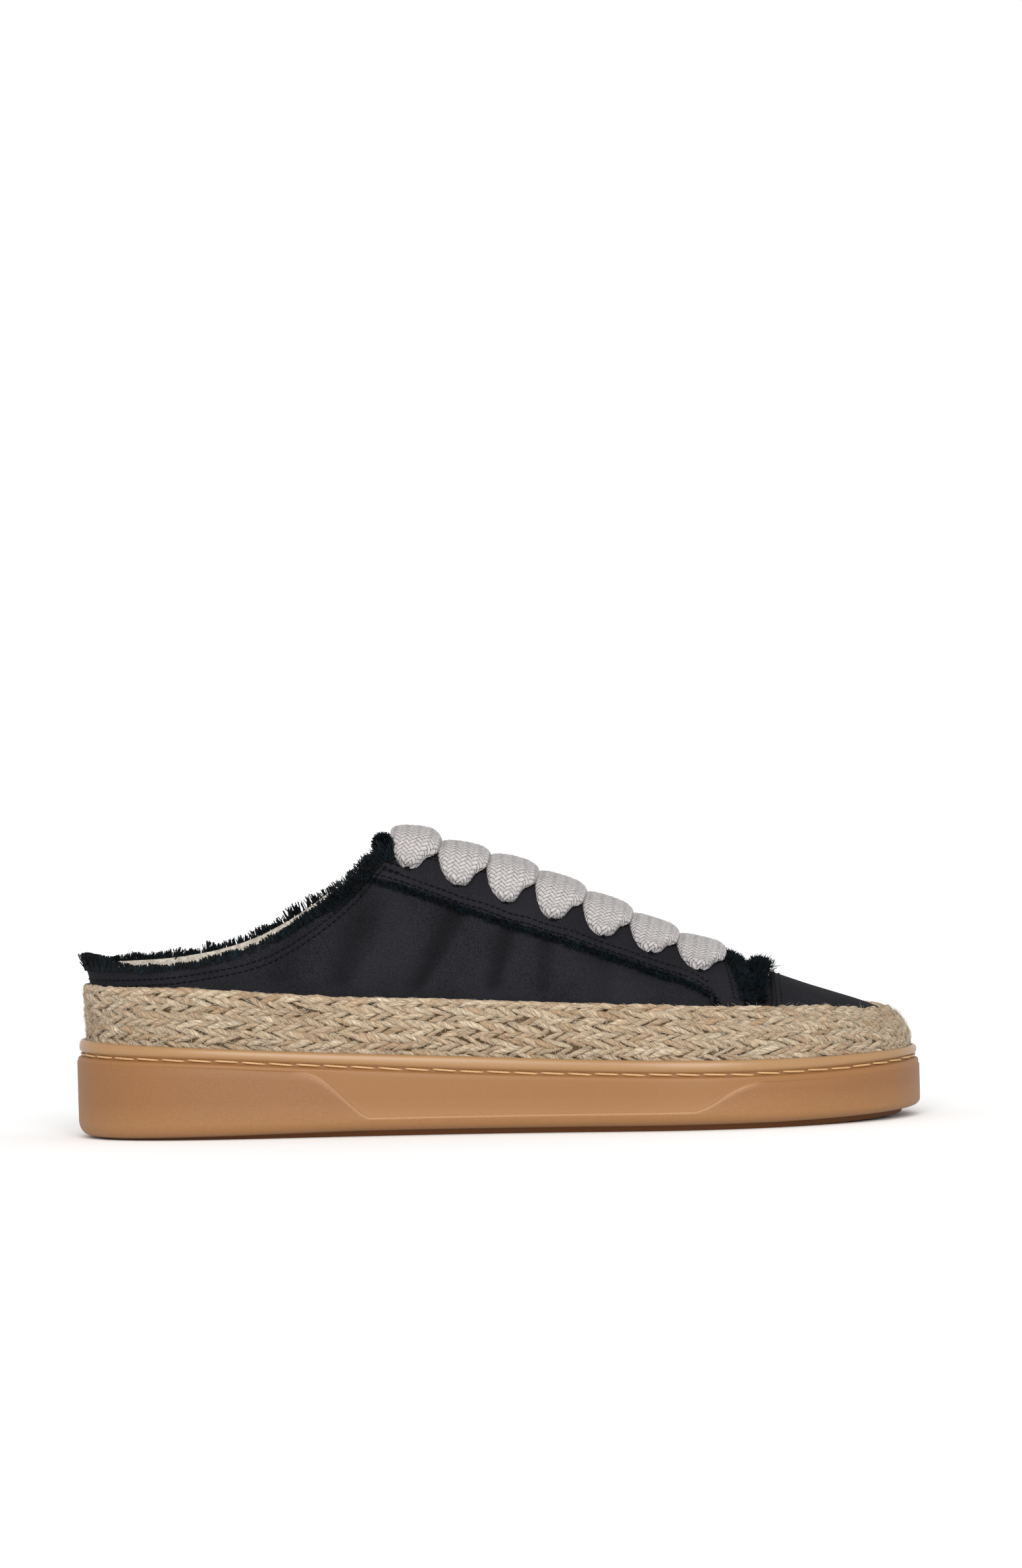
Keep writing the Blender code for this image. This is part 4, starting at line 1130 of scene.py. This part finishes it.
def folds(phi, t):
    """How far the cloth sinks or swells at each place, in mm."""
    p = skin(phi, t)
    x, z = p[..., 0], p[..., 2]
    foot = level(BAND_TOP, phi)
    up = np.clip((z - foot) / 34.0, 0, 1.2)
    total = 0.0
    for x0, slant, width, depth, reach in FOLDS:
        d = (x - x0 - slant * up) / (width * (0.7 + 0.6 * up))
        fade = ease(up, 0, 0.12) * ease(up, reach + 0.25, reach - 0.1)
        # a trough with a lower swell ahead of it
        swell = 0.5 * np.exp(-0.5 * ((d - 1.7) / 0.9) ** 2)
        total = total + depth * fade * (swell - np.exp(-0.5 * d * d))
    pucker = 0.18 * np.exp(-((z - foot) / 3.0) ** 2) * grain(np.stack([x, z * 0.2], -1), 4.0, 5)
    return total + pucker + 0.12 * grain(np.stack([x, z], -1), 11.0, 2)


def heel_puff(phi):
    """The satin stands a little off the last round the heel."""
    return 1.2 * np.clip(np.cos(phi), 0, 1) ** 4


def collar_end(ahead):
    """Phi of the collar's lateral front end, or this far ahead of it."""
    return phi_at(FRINGE_END + ahead, False, 0.85)


def collar_rim(phi, lift=0.0):
    return skin(phi, edge_t(phi), lift)


def make_upper():
    phi = arc_phi(420, FOOT_SETBACK)
    top = edge_t(phi)
    foot = np.minimum(band_top_t(phi, -5.0), top - 0.03)
    share = np.linspace(0, 1, 44)
    t = foot[:, None] + (top - foot)[:, None] * share
    grid = phi[:, None] + 0 * t
    sunk = folds(grid, t)
    points = skin(grid, t, sunk + heel_puff(grid))
    # painted shade, darker in the troughs of the folds
    values = {"painted_shade": np.clip(-0.6 * sunk, 0, 0.7).ravel()}
    return grid_object("upper_satin", points, SATIN, closed=True, values=values)


def make_lining():
    """Pale lining inside the upper, with a soft rolled edge just under the raw edge of the satin."""
    phi = arc_phi(300, FOOT_SETBACK)
    top = edge_t(phi)
    foot = t_at_height(phi, cup_floor(phi) + 4.0)
    share = np.linspace(0, 1, 24) ** 0.8
    t = foot[:, None] + (top - 0.004 - foot)[:, None] * share
    inner = skin(phi[:, None] + 0 * t, t, -UPPER_WALL + 0.05)
    edge = skin(phi, top)
    out = outward(phi, top)
    # a ledge under the insole's rim
    flat = unit(outward(phi, foot) * (1 - UPWARD))
    ledge = inner[:, :1] - 4.0 * flat[:, None]
    # the roll shows round the opening alone, and is taller on the inner side
    open_edge = (top < 0.995)[:, None]
    tall = 0.5 + 0.8 * np.clip(-4 * np.sin(phi), 0, 1)[:, None]
    half = UPPER_WALL / 2
    roll = []
    for a in np.linspace(0, PI, 7):
        rise = np.where(open_edge, tall * math.sin(a) + 0.1, -0.8)
        roll.append(edge + UPWARD * rise - out * (half + 0.05 + (half - 0.1) * math.cos(a)))
    points = np.concatenate([ledge, inner, np.stack(roll, 1)], 1)
    return grid_object("upper_lining", points[:, ::-1], LINING, closed=True)


def throat_t(phi, beyond=0.0):
    """The throat's edge, or a line this far beyond it."""
    return t_at_breadth(phi, np.maximum(follow(THROAT, 1, spine(phi)) - beyond, 0.2))


def eyestay_grid(medial, rows):
    """Phi and t over the eyestay's own area: its side part, then its leg."""
    xs = np.linspace(EYESTAY_REAR, EYESTAY_SIDE_FRONT, 200)
    at = np.interp(xs, (54.0, EYESTAY_SIDE_FRONT), (0.85, 0.5))
    phi = phi_at(xs, medial, at)
    edge = edge_t(phi)
    rear = t_at_height(phi, skin(phi, edge)[:, 2] - 1.2)
    # how far it reaches over the throat's edge, out of sight under the lace
    stations = (FRINGE_END, FRINGE_END + 4, 0, 16, 50, 62)
    beyond = EYESTAY_OVERRUN * np.interp(xs, stations, (0, 2, 2, 1, 1, 0))
    top = np.where(xs < FRINGE_END + 1.5, rear, np.maximum(edge, throat_t(phi, beyond)))
    hem = np.minimum(eyestay_foot(phi, xs, EYESTAY_HEM), top - 0.012)
    share = np.linspace(0, 1, rows)
    t = hem[:, None] + (top - hem)[:, None] * share
    side = (phi[:, None] + 0 * t, t)
    foot_x = np.linspace(66.4, EYESTAY_FRONT_FOOT, 26)[:, None]
    top_x = np.linspace(65.4, EYESTAY_FRONT_TOP, 26)[:, None]
    phi = phi_at(foot_x, medial, 0.4)
    seam = eyestay_foot(phi, foot_x, EYESTAY_HEM)
    foot = np.where(foot_x < 68.2, seam, band_top_t(phi, -1.0))
    top = edge_t(phi_at(top_x, medial, 0.98))
    t = foot + (top - foot) * share
    leg = (phi_at(foot_x + (top_x - foot_x) * share, medial, t), t)
    return tuple(np.concatenate(part) for part in zip(side, leg))


def eyestay_foot(phi, x, drop):
    """t this far below the eyestay's lower seam, and never down on the band."""
    seam = t_at_height(phi, follow(EYESTAY_SEAM, 1, x) - drop)
    band = band_top_t(phi, CLEAR_OF_BAND)
    return np.where(x > EYESTAY_SEAM[-2][0], band, np.maximum(seam, band))


def make_eyestay():
    """The overlay round the throat, a sheet on each side with a leg down to the band."""
    made = []
    for medial in (False, True):
        phi, t = eyestay_grid(medial, 26)
        # thin at its hem
        full = ease(np.linspace(0, 1, 26), 0, 0.06) ** 0.5
        lift = 0.35 + (OVERLAY_LIFT + OVERLAY_WALL - 0.35) * full
        wave = 0.5 * folds(phi, t) + 0.10 * grain(skin(phi, t), 6.0, 8)
        points = skin(phi, t, lift + wave)
        if medial:
            points = points[::-1]
        made.append(grid_object("eyestay_inner" if medial else "eyestay_outer", points, SATIN))
    return made


def up_line(foot_x, top_x, share, medial, above, at=0.5):
    """x and t on a line from this far above the band's top up to the ridge."""
    x = foot_x + (top_x - foot_x) * share
    foot = band_top_t(phi_at(x, medial, at), above)
    return x, foot + (1 - foot) * share


def toe_cap_line(share, medial, ahead=0.0):
    """Phi and t along the toe cap's rear edge, or along a line this far ahead of it."""
    x, t = up_line(TOE_CAP_SEAM_FOOT + ahead, TOE_CAP_SEAM_TOP + ahead, share, medial, -1.5)
    return phi_at(x, medial, t), t


def make_toe_cap():
    """The overlay over the toe, its rear edge turned down."""
    share = np.linspace(0, 1, 30)
    line, _ = toe_cap_line(share, False)
    # its first column is there twice: the edge turns down to the satin under it
    way = np.concatenate([[0.0], np.linspace(0, 1, 60)])[:, None]
    lateral = line + (PI - line) * way
    grid = np.concatenate([lateral, 2 * PI - lateral[-2::-1]])
    foot = band_top_t(grid[:, :1], -1.5)
    t = foot + (1 - foot) * share
    lift = OVERLAY_LIFT + OVERLAY_WALL + 0.08 * grain(skin(grid, t), 7.0, 4)
    lift[[0, -1]] = 0.2
    # painted shade, darker up the cap towards its top
    values = {"painted_shade": (0.4 * share + 0 * t).ravel()}
    return grid_object("toe_cap_satin", skin(grid, t, lift), SATIN, values=values)


# Stitch rows on the satin


def stitch_row(phi, t, lift, length=1.6, pitch=2.0, radius=0.25):
    """Thread stitches along a path of places on the last."""
    path = skin(phi, t, lift)
    normal = outward(phi, np.minimum(t, 0.995))
    s = travelled(path)
    count = max(1, int(s[-1] / pitch))
    share = np.linspace(0, 1, 5)
    off = np.abs(2 * share - 1)
    where = (np.arange(count)[:, None] + 0.5) * s[-1] / count + (share - 0.5) * length
    points, up = (np.stack([np.interp(where, s, row) for row in part.T], -1) for part in (path, normal))
    points = points - up * (0.3 * off**6)[:, None]
    return points, radius * (1 - 0.5 * off**5) * np.ones((count, 1)), up


STITCH_LIFT = OVERLAY_LIFT + OVERLAY_WALL + 0.12


def stitch_lines():
    """Phi, t and lift along each row of stitches."""
    rows = []
    # along the collar
    start = collar_end(5.0)
    phi = np.linspace(-start, start, 900) % (2 * PI)
    edge = edge_t(phi)
    rim = skin(phi, edge)
    slope = np.gradient(rim[:, 2]) / np.linalg.norm(np.gradient(rim, axis=0), axis=1)
    for drop in (3.6, 5.5):
        lower = drop + 1.4 * np.interp(rim[:, 0], (-90.0, -70.0), (0, 1))
        t = t_at_height(phi, rim[:, 2] - lower / np.sqrt(1 - np.minimum(slope**2, 0.6)))
        # the rows run on over the eyestay's rear end
        on_top = ease(skin(phi, t)[:, 0], EYESTAY_REAR - 1.0, EYESTAY_REAR + 0.5)
        rows.append((phi, t, folds(phi, t) + heel_puff(phi) + 0.12 + STITCH_LIFT * on_top))
    for medial in (False, True):
        # eyestay's lower seam, two rows, then the throat's edge, two rows
        xs = np.linspace(EYESTAY_REAR + 2.0, EYESTAY_SIDE_FRONT, 300)
        phi = phi_at(xs, medial, 0.7)
        for drop in (0.0, 1.8):
            t = eyestay_foot(phi, xs, drop - 0.4)
            rows.append((phi, t, STITCH_LIFT + 0.5 * folds(phi, t)))
        xs = np.linspace(-27.0, EYESTAY_SIDE_FRONT, 300)
        phi = phi_at(xs, medial, 0.9)
        for inset in (0.4, 2.2):
            t = throat_t(phi, -inset)
            rows.append((phi, t, STITCH_LIFT + 0.5 * folds(phi, t)))
        # the front line of the eyestay's leg and the rear of the toe cap
        share = np.linspace(0.04, 1.0, 120)
        for behind in (1.2, 3.0):
            ends = (EYESTAY_FRONT_FOOT - behind, EYESTAY_FRONT_TOP - behind)
            x, t = up_line(*ends, share, medial, 0.3, 0.4)
            rows.append((phi_at(x, medial, t), t, STITCH_LIFT))
        for ahead in (1.0, 2.7):
            rows.append((*toe_cap_line(share, medial, ahead), STITCH_LIFT))
    return rows


def make_stitches():
    pieces = [stitch_row(*row) for row in stitch_lines()]
    # a worked slit under the tip of each lace bar; its black thread stands in also for the shade under
    # the tip
    for x, height in zip(*bar_places()):
        for medial in (False, True):
            xs = np.linspace(x - 1.4, x + 1.4, 12)
            phi = phi_at(xs, medial, 0.8)
            t = t_at_height(phi, height - 0.2 - 0.25 * (xs - x))
            pieces.append(stitch_row(phi, t, STITCH_LIFT, 2.4, 2.6, 0.28))
    paths, radii, up = (np.concatenate(part) for part in zip(*pieces))
    verts, faces = tubes(paths, radii, 5, up)
    return mesh_object("satin_stitches", verts, faces, THREAD)


# Raw edges


def threads(name, roots, heads, ups, length, radius, bend, tone, steps=4, sides=4):
    """Loose threads from root points along head directions, bending as they go."""
    share = np.linspace(0, 1, steps)[None, :, None]
    length = np.asarray(length)[:, None, None]
    turns = np.cumsum(RNG.normal(0, bend, (len(roots), steps - 1, 3)), 1)
    ways = heads[:, None] + turns
    ways = unit(ways) * length / (steps - 1)
    paths = roots[:, None] + np.concatenate([0 * ways[:, :1], np.cumsum(ways, 1)], 1)
    radii = np.asarray(radius)[:, None] * (1 - 0.35 * share[..., 0] ** 2)
    up = np.cross(np.cross(heads, ups), heads)[:, None] * np.ones((1, steps, 1))
    verts, faces = tubes(paths, radii, sides, up)
    return mesh_object(name, verts, faces, FRAY, {"tone": np.repeat(tone, steps * sides)})


# name, number of threads, whether they are the short pile under the longer ones
COLLAR_FRINGES = (("collar_threads", 2300, False), ("collar_plush", 3200, True))


def make_collar_fringe():
    """Coarse threads along the collar, leaning in locks, thick and bushy towards the throat."""
    start = collar_end(2.0)
    made = []
    for name, count, plush in COLLAR_FRINGES:
        # round the collar from end to end; the pile is at its ends alone
        pull = RNG.uniform(-1, 1, count)
        if plush:
            pull = np.sign(pull) * (1 - 0.22 * np.abs(pull) ** 1.2)
        phi = (pull * start) % (2 * PI)
        edge = edge_t(phi)
        rim = skin(phi, edge)
        ahead = unit(collar_rim(phi + 2e-3) - collar_rim(phi - 2e-3))
        ahead = ahead * np.sign(ahead[:, :1])
        out = outward(phi, edge)
        up = np.cross(ahead, out)
        up = unit(up * np.sign(up[:, 2:]))
        x = rim[:, 0]
        slope = ease(x, -92.0, -52.0)
        bushy = ease(x, -57.0, -49.0)
        heel = ease(x, -110.0, -122.0)
        near = pull > 0
        place = np.stack([x + 0.6 * rim[:, 2], 40.0 * near], -1)
        lock = grain(place, 2.2, 6)
        tuft = grain(place, 2.4, 16)
        below = 1.8 - 1.0 * heel + 1.2 * slope + (0.6 + 2.6 * plush) * bushy
        below = RNG.uniform(0, 1, count) * below
        t = np.minimum(t_at_height(phi, rim[:, 2] - below), edge)
        lift = RNG.uniform(0.1, 0.5, count) + heel_puff(phi) + 1.5 * ease(x, -43.0, -41.0)
        shift = bushy * RNG.uniform(-1.4, 0.6, count) * (below < 1)
        roots = skin(phi, t, lift) + out * shift[:, None]
        lean = 0.22 * (1 - bushy) + RNG.normal(0, 0.20, count) + 0.32 * lock
        flare = 0.06 - 0.18 * heel + 0.4 * bushy * RNG.uniform(-0.6, 1, count)
        flare = flare + RNG.normal(0, 0.1, count)
        head = up + ahead * lean[:, None] + out * flare[:, None]
        head = unit(head + RNG.normal(0, 0.06 + 0.22 * plush, (count, 3)))
        # the inner side's threads are longer than the outer side's
        reach = np.where(near, 0.2, 3.2) + np.where(near, 0.9, 1.4) * lock
        reach = reach + RNG.uniform(0, 1.1, count)
        at_back = 3.4 + 1.5 * ease(x, -122.0, -129.0) + 0.5 * lock
        reach = reach + (at_back - reach) * heel
        reach = reach + (1.4 + tuft - reach) * bushy
        if plush:
            reach = RNG.uniform(0.0, 0.4 + 1.9 * bushy, count) * (1 + 0.5 * tuft) - 0.35 * below
            reach = np.where(near, reach, reach + 1.2 * (1 - bushy))
        length = np.maximum(reach + below, 1.0)
        radius = RNG.uniform(0.16, 0.27, count) * (1 - 0.3 * plush)
        tone = tones(count, 0.4, 0.22, 0.25 * (tuft > 0.3))
        bend = (0.12 + 0.05 * heel + 0.32 * plush)[:, None, None]
        sides = 3 if plush else 4
        made.append(threads(name, roots, head, out, length, radius, bend, tone, sides=sides))
    return made


def make_collar_tufts():
    """A round tuft at each front end of the collar."""
    count = TUFT_THREADS
    ends = np.array([1, -1]) * (collar_end(2.0) - 0.012) % (2 * PI)
    centre = collar_rim(ends, 0.4) + (-1.2, 0.0, 0.6)
    pick = RNG.integers(0, 2, count)
    head = unit(RNG.normal(0, 1, (count, 3)) + (0.0, 0.0, 0.35))
    length = 3.3 * RNG.uniform(0.75, 1.0, count)
    tone = tones(count, 0.4, 0.25)
    radius = RNG.uniform(0.12, 0.2, count)
    roots = centre[pick] + 0.8 * head
    up = (0.3, 1.0, 0.1) + 0 * head
    return threads("collar_tufts", roots, head, up, length, radius, 0.4, tone)


# name, x at ridge and foot, how far the roots lie ahead of that line, lean ahead, length at foot
# and ridge, number of threads
VAMP_FRINGES = (
    ("vamp_threads", EYESTAY_FRONT_TOP, EYESTAY_FRONT_FOOT, (-2.0, 2.2), 1.0, (3.8, 4.0), 3400),
    ("toe_cap_threads", TOE_CAP_SEAM_TOP, TOE_CAP_SEAM_FOOT, (-5.0, -1.9), -0.5, (3.2, 6.0), 3400),
)


def make_vamp_fringes():
    """Loose threads over the vamp, along the eyestay's front and the toe cap's rear edge."""
    made = []
    for name, top_x, foot_x, spread, lean, tall, count in VAMP_FRINGES:
        share = RNG.uniform(0, 1, count) ** 0.9
        medial = RNG.uniform(size=count) < MEDIAL_SHARE
        shift = RNG.uniform(*spread, count)
        lock = grain(np.stack([share * 42.0 + 50 * medial, shift * 0.3], -1), 1.8, 9)
        x, t = up_line(foot_x, top_x, share, medial, 0.4)
        phi = phi_at(x + shift, medial, t)
        roots = skin(phi, t, 0.25)
        # lies down near the band, stands up over the ridge
        ahead = lean * (1.6 - 1.2 * share) + RNG.normal(0, 0.28, count) + 0.3 * lock
        head = outward(phi, np.minimum(t, 0.995)) + ahead[:, None] * AHEAD
        head = unit(head + RNG.normal(0, 0.12, (count, 3)))
        # the toe cap's threads are shorter at the rear
        rear = (spread[1] - shift) / (spread[1] - spread[0]) * (lean < 0)
        length = tall[0] + (tall[1] - tall[0]) * share**1.3 * (1.05 - 0.35 * rear)
        length = length * RNG.uniform(0.75, 1.05, count) * (1 + 0.14 * lock)
        radius = RNG.uniform(0.09, 0.17, count)
        tone = tones(count, 0.42, 0.25, 0.3 * (lock > 0.35))
        up = (0.0, 1.0, 0.0) + 0 * roots
        made.append(threads(name, roots, head, up, length, radius, 0.45, tone, sides=3))
    return made


def make_eyestay_fray():
    """Short threads along the eyestay's lower raw edge, lying down the side."""
    count = EYESTAY_THREADS
    medial = RNG.uniform(size=count) < MEDIAL_SHARE
    xs = RNG.uniform(EYESTAY_REAR, 66.8, count)
    # some are at the foot of its leg
    xs[::9] = RNG.uniform(66.8, 68.0, len(xs[::9]))
    roots, out, down = np.zeros((3, count, 3))
    for side in (False, True):
        pick = medial == side
        phi = phi_at(xs[pick], side, 0.7)
        drop = EYESTAY_HEM - RNG.uniform(-0.6, 0.9, pick.sum())
        t = eyestay_foot(phi, xs[pick], drop)
        roots[pick] = skin(phi, t, 0.3 + RNG.uniform(0, 0.9, pick.sum()))
        out[pick] = outward(phi, t)
        down[pick] = unit(skin(phi, np.maximum(t - 0.02, 0.02), 0.5) - skin(phi, t, 0.5))
    lock = grain(np.stack([xs, 0 * xs], -1), 2.4, 12)
    lean = (RNG.normal(0.1, 0.45, count) + 0.2 * lock)[:, None] * AHEAD
    head = unit(down + out * RNG.uniform(0.0, 0.55, count)[:, None] + lean)
    length = RNG.uniform(1.0, 2.3, count) * (1 + 0.25 * lock)
    # they stop at the band
    room = roots[:, 2] - follow(LEVELS, BAND_TOP, roots[:, 0]) + 0.5
    length = np.clip(length, 0.4, np.maximum(room, 0.5))
    radius = RNG.uniform(0.09, 0.17, count)
    tone = tones(count, 0.5, 0.28, 0.2 * lock)
    return threads("eyestay_threads", roots, head, out, length, radius, 0.38, tone, 3, sides=3)


# Lace


def bar_places():
    """Each bar's lateral eyelet: its x and its height."""
    xs = np.linspace(FIRST_EYELET, LAST_EYELET, LACE_BARS)
    return xs + 0.8 * np.linspace(1, 0, LACE_BARS) ** 2, follow(EYELETS, 1, xs) - 0.8


# shares of the way from the eyelet to the ridge, and the width there of a bar's rear or front
# half, as a share of its even one
PINCH_REAR = (
    (0.0, 0.02, 0.05, 0.1, 0.15, 0.2, 0.3, 0.4, 0.5, 0.6, 0.8, 1.0),
    (0.14, 0.32, 0.48, 0.60, 0.70, 0.79, 0.89, 0.99, 1.06, 1.11, 1.16, 1.17),
)
PINCH_FRONT = (
    (0.0, 0.02, 0.05, 0.1, 0.2, 0.28, 0.36, 0.44, 0.52, 0.7, 1.0),
    (0.10, 0.24, 0.33, 0.41, 0.49, 0.56, 0.72, 0.86, 0.93, 0.97, 0.96),
)
# how far ahead each bar's tip and its top sit of their even places
BAR_SHIFTS = ((-0.6, -0.7), (1.0, -0.4), (0.8, -1.5), (0.0, -0.3), (0.7, -0.2), (0.2, 0.0), (0.5, 0.1))


def tape_section(count):
    """Places an even distance apart over a flat tape with round edges: across -1 to 1, height 0 to 1."""
    theta = np.linspace(PI, 0, 2001)
    across = np.sign(np.cos(theta)) * np.abs(np.cos(theta)) ** 0.6
    height = np.abs(np.sin(theta)) ** 0.6
    way = travelled(np.stack([across * 7.5, height * LACE_THICKNESS], -1))
    even = np.linspace(0, way[-1], count)
    return np.interp(even, way, across), np.interp(even, way, height)


def bar_line(x, height, medial, share):
    """Centre line of one lace bar, from its eyelet to the ridge."""
    eyelet = t_at_height(phi_at(x, medial, 0.8), height)
    t = eyelet + (1 - eyelet) * share
    rise = skin(phi_at(x, medial, t), t)[:, 2] - height
    return np.stack([x + LACE_SLANT * rise, t])


def braid_puff(u, v):
    """How far the braid stands out at u across and v along, 0 to 1, highest amid each strand's float."""
    a, b = u + v, u - v
    turn = (np.floor(a) + np.floor(b)) % 4
    top = turn < 1.5
    cell_a, cell_b = a - np.floor(a), b - np.floor(b)
    cross = np.abs(np.sin(PI * np.where(top, cell_a, cell_b)))
    reach = np.abs(np.sin(PI / 2 * (turn % 2 + np.where(top, cell_b, cell_a))))
    return cross**0.6 * (0.42 + 0.58 * reach**0.6)


def make_lace():
    """Flat braided bars over the throat, with the braid's cells standing out of them."""
    xs, heights = bar_places()
    # closer rows at the tip
    share = np.linspace(0, 1, BAR_ROWS) ** 1.25
    across, bulge = tape_section(TAPE_COLUMNS)
    swell = np.interp(across, (-1, -0.6, 0, 0.5, 0.8, 1), (0.1, 0.6, 1.0, 1.05, 0.7, 0.2))
    tip = np.sqrt(1 - (1 - np.minimum(share / 0.06, 1)) ** 2)
    thick = LACE_THICKNESS * bulge[:, None] * tip * (1 + 0.25 * np.exp(-((share / 0.12) ** 2)))
    # the bars' centre lines on each side, and the lines where they meet, with one past each end
    courses = []
    for medial in (False, True):
        lines = np.array([bar_line(x, z, medial, share) for x, z in zip(xs, heights)])
        meet = (lines[:-1] + lines[1:]) / 2
        ends = 2 * lines[:1] - meet[:1], 2 * lines[-1:] - meet[-1:]
        courses.append((medial, lines, np.concatenate([ends[0], meet, ends[1]])))
    bars = []
    for index in range(LACE_BARS):
        sides = []
        for medial, lines, meet in courses:
            line = lines[index] + np.stack([np.interp(share, (0, 0.7), BAR_SHIFTS[index]), 0 * share])
            rear = (line - meet[index]) * np.interp(share, *PINCH_REAR)
            front = (meet[index + 1] - line) * np.interp(share, *PINCH_FRONT)
            place = line + across[:, None, None] * np.where(across[:, None, None] < 0, rear, front)
            x, t = place[:, 0], np.minimum(place[:, 1], 1.0)
            # the first bar stands up taller
            dome = (2.4 if index == 0 else 1.1) * swell[:, None] * (0.5 + 0.5 * share)
            lift = OVERLAY_LIFT + OVERLAY_WALL + 0.1 + 0.3 * share + dome + 0.35 * across[:, None]
            phi = phi_at(x, medial, t)
            normal = outward(phi, np.minimum(t, 0.998))
            sides.append((skin(phi, t, lift), normal, normal * thick[..., None]))
        # from the lateral tip over the ridge to the medial one
        points, normal, over = (np.concatenate([a, b[:, -2::-1]], 1) for a, b in zip(*sides))
        run = travelled((points + over)[TAPE_COLUMNS // 2])
        # cells are drawn longer where the bar bends over, and narrower at its tips
        from_tip = np.minimum(run, run[-1] - run)
        at_tip = np.exp(-((from_tip / 4.5) ** 2))
        bend = np.exp(-(((from_tip - 13.0) / 6.0) ** 2))
        v = np.cumsum(np.diff(run, prepend=0) / (BRAID_HEIGHT * (1 + 0.35 * bend))) + 0.13 * index
        # strands keep their width, so the tape's edges turn under where it narrows
        way = travelled(points + over)
        u = 20.0 + (way - way[TAPE_COLUMNS // 2]) / (BRAID_WIDTH * (1 - 0.1 * at_tip))
        points = points + over + normal * (0.42 * braid_puff(u, v) - 0.28)[..., None]
        # the third value, nearness to a tip, paints shade on the braid there
        bars.append((points, np.stack([u, v + 0 * u, at_tip + 0 * u], -1)))
    made = []
    for name, part in (("lace_bars_rear", bars[:4]), ("lace_bars_front", bars[4:])):
        verts, braid = (np.stack(values).reshape(-1, 3) for values in zip(*part))
        quads = grid_faces(*points.shape[:2])[:, ::-1]
        faces = np.concatenate([quads + k * u.size for k in range(len(part))])
        made.append(mesh_object(name, verts, faces, LACE, {"braid": braid}))
    return made


# Assembly


def use(objects, slot, *nodes):
    """The pieces go under the root empty and stand for these CAD nodes, which are hidden; slot is not
    used.
    """
    for obj in objects if isinstance(objects, list) else [objects]:
        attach(obj, "root")
        if nodes:
            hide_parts(*nodes)


stage_scene()
SATIN = satin_material()
THREAD = thread_material()
FRAY = fray_material()
LINING = lining_material()
LACE = lace_material()
JUTE = jute_material("jute_fibre", rgb(206, 173, 138), rgb(255, 236, 208), rgb(102, 78, 54))
# a darker copy of the jute for the plait's inside: painted shade
JUTE_SHADOW = jute_material("jute_shadow", rgb(132, 106, 76), rgb(150, 122, 90), rgb(90, 70, 48))
HAIR = jute_material("jute_hair", rgb(222, 202, 172), rgb(255, 246, 226), rgb(150, 124, 92), 0.8)
GUM = gum_material()
SOLE_THREAD = sole_thread_material()
TREAD = speckled_material("tread_rubber", rgb(128, 74, 42), 0.6)
INSOLE = speckled_material("insole_cloth", rgb(176, 168, 154), 0.9)

use(make_sole(), "gum_rubber", "outsole")
use(make_sole_stitches(), "gum_rubber")
use(make_jute(), "jute", "jute_band")
use(make_jute_core(), "jute", "jute_band")
use(make_jute_hairs(), "jute")
use(make_upper(), "satin", "upper")
use(make_lining(), "lining", "upper")
use(make_eyestay(), "satin", "eyestay")
use(make_toe_cap(), "satin", "toe_cap")
use(make_stitches(), "satin")
use([*make_collar_fringe(), make_collar_tufts()], "frayed_threads", "collar_fringe")
use(make_vamp_fringes(), "frayed_threads", "vamp_fringe", "toe_cap_fringe")
use(make_eyestay_fray(), "frayed_threads")
use(make_lace(), "lace_braid", "lace")
for node, material in (("tongue", SATIN), ("insole", INSOLE)):
    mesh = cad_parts[node].data
    mesh.materials.clear()
    mesh.materials.append(material)
